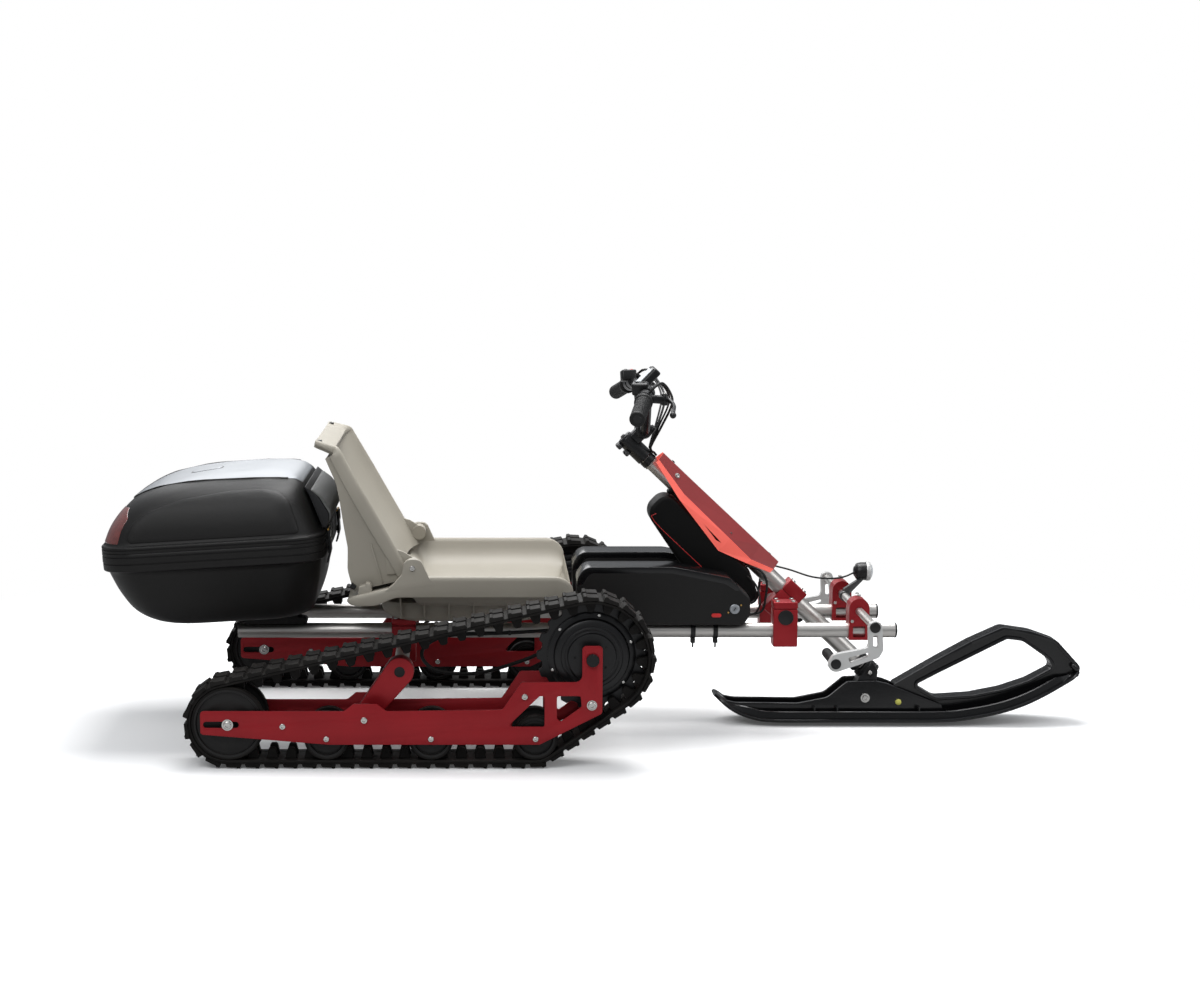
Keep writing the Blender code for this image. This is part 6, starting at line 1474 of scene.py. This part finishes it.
def build_case():
    tub_rim = [(SPLIT, -0.0005, 0.0005, -0.0005, 0.006), (SPLIT - 0.0006, 0, 0, 0, 0.006),
        (SPLIT - 0.006, 0, 0, 0, 0.006), (SPLIT - 0.0066, -0.0013, 0.0013, -0.0013, 0.006),
        (SPLIT - 0.0082, -0.0013, 0.0013, -0.0013, 0.006), (SPLIT - 0.0088, 0, 0, 0, 0.006),
        (SPLIT - 0.0205, 0, 0, 0, 0.006), (SPLIT - 0.0213, -0.0016, 0.0016, -0.0016, 0.006),
        (SPLIT - 0.0228, -0.0016, 0.0016, -0.0016, 0.006), (SPLIT - 0.0236, -0.0004, 0.0004, -0.0004, 0.006),
        (SPLIT - 0.037, -0.001, 0.001, -0.001, 0.006), (SPLIT - 0.0388, -0.0028, 0.0028, -0.0028, 0.006),
        (SPLIT - 0.0402, -0.0075, 0.0075, -0.0075, 0.006)]
    tub_body = [(SPLIT - 0.042, -0.01, 0.01, -0.01, 0.006), (0.078, -0.018, 0.028, -0.024, 0.006),
        (0.035, -0.028, 0.055, -0.038, 0.005), (0.01, -0.04, 0.092, -0.052, 0.003),
        (0.0006, -0.066, 0.13, -0.074, 0.001), (0, -0.11, 0.165, -0.12, 0)]
    inner = [(SPLIT, -WALL, WALL, -WALL, 0.006), (SPLIT - 0.036, -WALL - 0.001, WALL + 0.001, -WALL - 0.001, 0.006)]
    shape = bmesh.new()
    add(shape, case_shell(tub_rim, tub_body, inner, 1))
    for x in (-0.15, 0.06):
        for side in (-1, 1):
            add(shape, lathe([(0, 0.004), (0.0095, 0.004), (0.0095, -0.0022), (0.008, -0.0034), (0, -0.0034)],
                (x + 0.03, side * 0.15, 0), (0, 0, 1), 28), 1)
    for side in (-1, 1):
        add(shape, lathe(band(0, 0.0055, 0.021, 0.001, 0.0007), (-0.259, side * 0.12, SPLIT), (0, 1, 0), 28), 1)
        add(shape, box_shape((0.005, 0.042, 0.015), (-0.2566, side * 0.12, SPLIT - 0.0075), None, 0.0014, 2), 1)
        add(shape, box_shape((0.004, 0.03, 0.018), (0.219, side * 0.15, 0.135), None, 0.0014, 2), 1)
    piece("case_lower", placed(shape), ["textured", "plastic"], "chassis", ["case_tub"])

    rim, body = lid_rows()
    low = LID_LOW
    inner = [(low, -WALL, WALL, -WALL, 0.006), (low + 0.012, -WALL, WALL, -WALL, 0.006)]
    lid = case_shell(rim, body, inner, -1)
    outer = loft([case_ring(*row) for row in rim + between(body, 6)])
    tree = BVHTree.FromBMesh(outer)
    outer.free()
    shape = bmesh.new()
    add(shape, lid, 0)
    arch = rounded([(-0.1985, 0.1868, 0.012), (-0.178, 0.229, 0.04), (-0.1415, 0.25, 0.06), (-0.0737, 0.27, 0.1),
        (0.0263, 0.2805, 0.1), (0.095, 0.2805, 0.05), (0.13, 0.274, 0.03), (0.149, 0.256, 0.04),
        (0.164, 0.209, 0.06), (0.169, 0.1868, 0.008)], 7)
    for side in (-1, 1):
        add(shape, cast_patch(tree, arch, lambda u, v: Vector((u, side * 0.5, v)), (0, -side, 0), 0.0024, 0.008))
        lamp = rounded([(0.025, 0.185, 0.003), (0.027, 0.211, 0.06), (0.033, 0.236, 0.008), (0.012, 0.2565, 0.006),
            (-0.043, 0.254, 0.008), (-0.066, 0.187, 0.006)], 6)
        corner = Vector((-0.2 - 0.25, side * (0.22 + 0.25), 0))
        along = Vector((1, side, 0)).normalized()
        add(shape, cast_patch(tree, lamp, lambda u, v: corner + along * u + Vector((0, 0, v)),
            (0.7071, -side * 0.7071, 0), 0.0016, 0.003, 0.006), 1)
        add(shape, box_shape((0.005, 0.036, 0.011), (-0.256, side * 0.12, low + 0.0085), None, 0.0014, 2), 5)
        latch = rounded([(0.2185, low + 0.014, 0.001), (0.2235, low + 0.015, 0.002), (0.2238, 0.131, 0.004),
            (0.2165, 0.1075, 0.002), (0.213, 0.1085, 0.002), (0.2205, 0.132, 0.004)], 4)
        a, b = side * 0.15 - 0.024, side * 0.15 + 0.024
        add(shape, prism([latch], a, b, 0.0008, 2), 5)
        loop = [Vector((0.2215, side * 0.15 + u, low + v)) for u, v in ((-0.015, 0.012), (-0.0155, 0.002),
            (-0.014, -0.008), (0, -0.0105), (0.014, -0.008), (0.0155, 0.002), (0.015, 0.012))]
        add(shape, pipe(smooth_route([p + Vector((0.003, 0, 0)) for p in loop], 0.004), 0.0012, 10), 3)
        add(shape, lathe(band(0, 0.0024, 0.025, 0.001, 0.0006), (0.221, side * 0.15, low + 0.0125), (0, 1, 0), 18), 4)
    top = [(-0.205, 0, 0), (-0.199, 0.07, 0.04), (-0.155, 0.133, 0.08), (-0.05, 0.168, 0.15), (0.065, 0.178, 0.1),
        (0.136, 0.174, 0.03), (0.172, 0.148, 0.03), (0.1735, 0, 0)]
    crown = rounded(top + [(x, -y, r) for x, y, r in reversed(top[1:-1])], 6)
    above = lambda u, v: Vector((u, v, 0.6))
    add(shape, cast_patch(tree, crown, above, (0, 0, -1), 0.0016, 0.003, 0.009), 2)
    wide = [Vector((p.x * 1.012 - 0.0005, p.y * 1.02)) for p in crown]
    add(shape, cast_patch(tree, wide, above, (0, 0, -1), 0.0008, 0.002, 0.009), 5)
    edge = []
    for spot in crown:
        if abs(spot.y) > 0.06 or spot.x < -0.1:
            hit = tree.ray_cast(Vector((spot.x, spot.y, 0.6)), Vector((0, 0, -1)))[0]
            if hit is not None and hit.x < 0.15:
                edge.append(hit)
    edge.sort(key=lambda p: math.atan2(p.y, 0.15 - p.x))
    add(shape, pipe(smooth_route(edge, 0.012), 0.003, 12))
    for grow, height, slot in ((1, 0.0021, 5), (0.9, 0.0029, 2)):
        badge = rounded([(-0.046 + x * grow, y * grow, 0.014 * grow) for x, y
            in ((-0.036, -0.023), (0.036, -0.023), (0.036, 0.023), (-0.036, 0.023))], 6)
        add(shape, cast_patch(tree, badge, above, (0, 0, -1), height, 0.0014, 0.006), slot)
    piece("case_upper", placed(shape), ["textured", "reflector", "silver", "steel", "brass", "plastic"], "case_lid",
        ["case_lid"])

    low_z = FRAME_Z + FRAME_RADIUS + 0.0005
    shape = bmesh.new()
    for side in (-1, 1):
        foot = rounded([(-0.679, low_z, 0.002), (-0.633, low_z, 0.006), (-0.636, low_z + 0.013, 0.006),
            (-0.679, low_z + 0.02, 0.002)], 5)
        a, b = side * FRAME_HALF - 0.016, side * FRAME_HALF + 0.016
        add(shape, prism([foot], a, b, 0.0016, 2))
        add(shape, bolt((-0.646, side * FRAME_HALF, low_z + 0.014), (0, 0, 1), 0.0042, height=0.003), 1)
    piece("case_feet", shape, ["soft_rubber", "dark_steel"], "chassis")


def swollen(obj, cap, held):
    """Cloth simulation with air inside; no point goes further than the cap, and held points stay."""
    start = [v.co.copy() for v in obj.data.vertices]
    group = obj.vertex_groups.new(name="held")
    group.add([i for i, co in enumerate(start) if held(co)], 1, "REPLACE")
    cloth = obj.modifiers.new("cloth", "CLOTH")
    settings = cloth.settings
    settings.quality = 5
    settings.mass = 0.3
    settings.tension_stiffness = 12
    settings.compression_stiffness = 12
    settings.shear_stiffness = 5
    settings.bending_stiffness = 0.4
    settings.use_pressure = True
    settings.uniform_pressure_force = 4
    settings.effector_weights.gravity = 0
    settings.vertex_group_mass = "held"
    for frame in range(1, 21):
        scene.frame_set(frame)
    seen = obj.evaluated_get(bpy.context.evaluated_depsgraph_get())
    ends = [v.co.copy() for v in seen.data.vertices]
    obj.modifiers.remove(cloth)
    obj.vertex_groups.remove(group)
    scene.frame_set(1)
    for vert, a, b in zip(obj.data.vertices, start, ends):
        move = b - a
        if move.length > cap:
            move *= cap / move.length
        vert.co = a + move
    obj.data.update()


def build_case_pad():
    low = LID_LOW
    back = [(-0.0017, 0.0185, 0.002), (0.0062, 0.0185, 0.004), (0.012, 0.03, 0.006), (0.0135, 0.048, 0.01),
        (-0.005, 0.083, 0.02), (-0.0245, 0.101, 0.01), (-0.0375, 0.1132, 0.002), (-0.0257, 0.09, 0),
        (-0.0137, 0.055, 0)]
    outline = rounded([(CASE_FRONT + a, low + b, r) for a, b, r in back], 6)
    shape = prism([outline], -0.189, 0.189, 0.0034, 3)
    piece("backrest_shell", placed(shape), ["black_pad"], "case_lid", ["lid_backrest"])

    face = [(0.004, 0.025, 0.004), (0.012, 0.0255, 0.005), (0.0178, 0.037, 0.008), (0.0186, 0.049, 0.014),
        (0, 0.084, 0.03), (-0.02, 0.101, 0.006), (-0.026, 0.0975, 0.002), (-0.014, 0.078, 0.01),
        (0.003, 0.047, 0.01)]
    outline = rounded([(CASE_FRONT + a, low + b, r) for a, b, r in face], 5)
    shape = placed(prism([outline], -0.177, 0.177, 0.004, 3))
    bmesh.ops.recalc_face_normals(shape, faces=shape.faces[:])
    mesh = bpy.data.meshes.new("backrest_pad")
    shape.to_mesh(mesh)
    shape.free()
    rough = bpy.data.objects.new("rough_pad", mesh)
    scene.collection.objects.link(rough)
    remesh = rough.modifiers.new("remesh", "REMESH")
    remesh.mode = "VOXEL"
    remesh.voxel_size = 0.004
    seen = rough.evaluated_get(bpy.context.evaluated_depsgraph_get())
    even = bpy.data.meshes.new_from_object(seen)
    bpy.data.objects.remove(rough)
    even.name = "backrest_pad"
    pad = bpy.data.objects.new("backrest_pad", even)
    scene.collection.objects.link(pad)
    inverse = CASE.inverted()

    def held(co):
        spot = inverse @ co
        ahead, up = spot.x - CASE_FRONT, spot.z - low
        return ahead + 0.52 * up < 0.0345 - 0.004
    swollen(pad, 0.005, held)
    even.materials.clear()
    even.materials.append(FINISH["grey_pad"])
    for polygon in even.polygons:
        polygon.material_index = 0
    even.shade_smooth()
    smooth = pad.modifiers.new("smooth", "SUBSURF")
    smooth.levels = 1
    smooth.render_levels = 1
    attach(pad, "case_lid")


def build_battery_cables():
    shape = bmesh.new()
    long = [(0.318, -0.038, 0.352), (0.345, -0.05, 0.345), (0.36, -0.058, 0.322), (0.3585, -0.06, 0.287),
        (0.35, -0.062, 0.256), (0.322, -0.066, 0.249)]
    short = [(0.31, -0.034, 0.338), (0.336, -0.06, 0.314), (0.344, -0.076, 0.28), (0.336, -0.08, 0.257),
        (0.318, -0.08, 0.25)]
    for route, radius in ((long, 0.0026), (short, 0.0022), ([(x, -y, z) for x, y, z in long], 0.0026)):
        add(shape, pipe(smooth_route(route, 0.008), radius, 14))
    piece("battery_cables", shape, ["soft_rubber"], "chassis")


def painted_lit_flanges(made, colour, glow):
    """Painted highlight and glow on the folded sheet: faces that look down from its fold take a second, brighter
    colour and a little emission, light painted into the paint.
    """
    tree = made.node_tree
    shader = tree.nodes["Principled BSDF"]
    before = shader.inputs["Base Color"].links[0].from_socket
    facing = add_node(tree, "ShaderNodeNewGeometry").outputs["Normal"]
    aim = add_node(tree, "ShaderNodeVectorMath", {0: facing, 1: AHEAD_UP}, operation="DOT_PRODUCT").outputs["Value"]
    level = add_node(tree, "ShaderNodeMapRange", {"Value": aim, "From Min": 0.32, "From Max": 0.12}).outputs[0]
    # painted highlight: the flanges' brighter colour stands in for light falling on them
    blend = add_node(tree, "ShaderNodeMix", {"A": before, "B": (*colour, 1), "Factor": level}, data_type="RGBA")
    tree.links.new(blend.outputs["Result"], shader.inputs["Base Color"])
    # painted glow: the flanges emit light though they are no lamp
    bright = add_node(tree, "ShaderNodeMath", {0: level, 1: glow}, operation="MULTIPLY").outputs[0]
    tree.links.new(bright, shader.inputs["Emission Strength"])
    shader.inputs["Emission Color"].default_value = (*colour, 1)


def finish_cad():
    """CAD pieces whose shape is right keep it, with their edges rounded and a better finish."""
    for name, chosen, width in (("fairing", "paint", 0.0004), ("footrest_clamp_left", "anodised", 0.0014),
            ("footrest_clamp_right", "anodised", 0.0014), ("footrest_arm_left", "cast", 0.0024),
            ("footrest_arm_right", "cast", 0.0024), ("case_rack", "textured", 0.0015)):
        obj = frame["nodes"][name]
        obj.data.materials.clear()
        obj.data.materials.append(FINISH[chosen])
        edges = obj.modifiers.new("edges", "BEVEL")
        edges.width = width
        edges.segments = 2
        edges.limit_method = "ANGLE"
        edges.angle_limit = math.radians(40)


build_stage()
FINISH = build_finishes()
# painted highlight and glow on the fairing's flanges
painted_lit_flanges(FINISH["paint"], (0.94, 0.155, 0.12), 0.4)
build_tracks()
build_frame()
build_clamps()
build_column()
build_stem()
build_bar()
build_display()
build_cables()
build_fairing_trim()
build_batteries()
build_footrest()
build_lamp()
build_ski()
build_ski_fittings()
build_leads()
build_battery_cables()
build_pan()
build_seat_back()
build_case()
build_case_pad()
finish_cad()
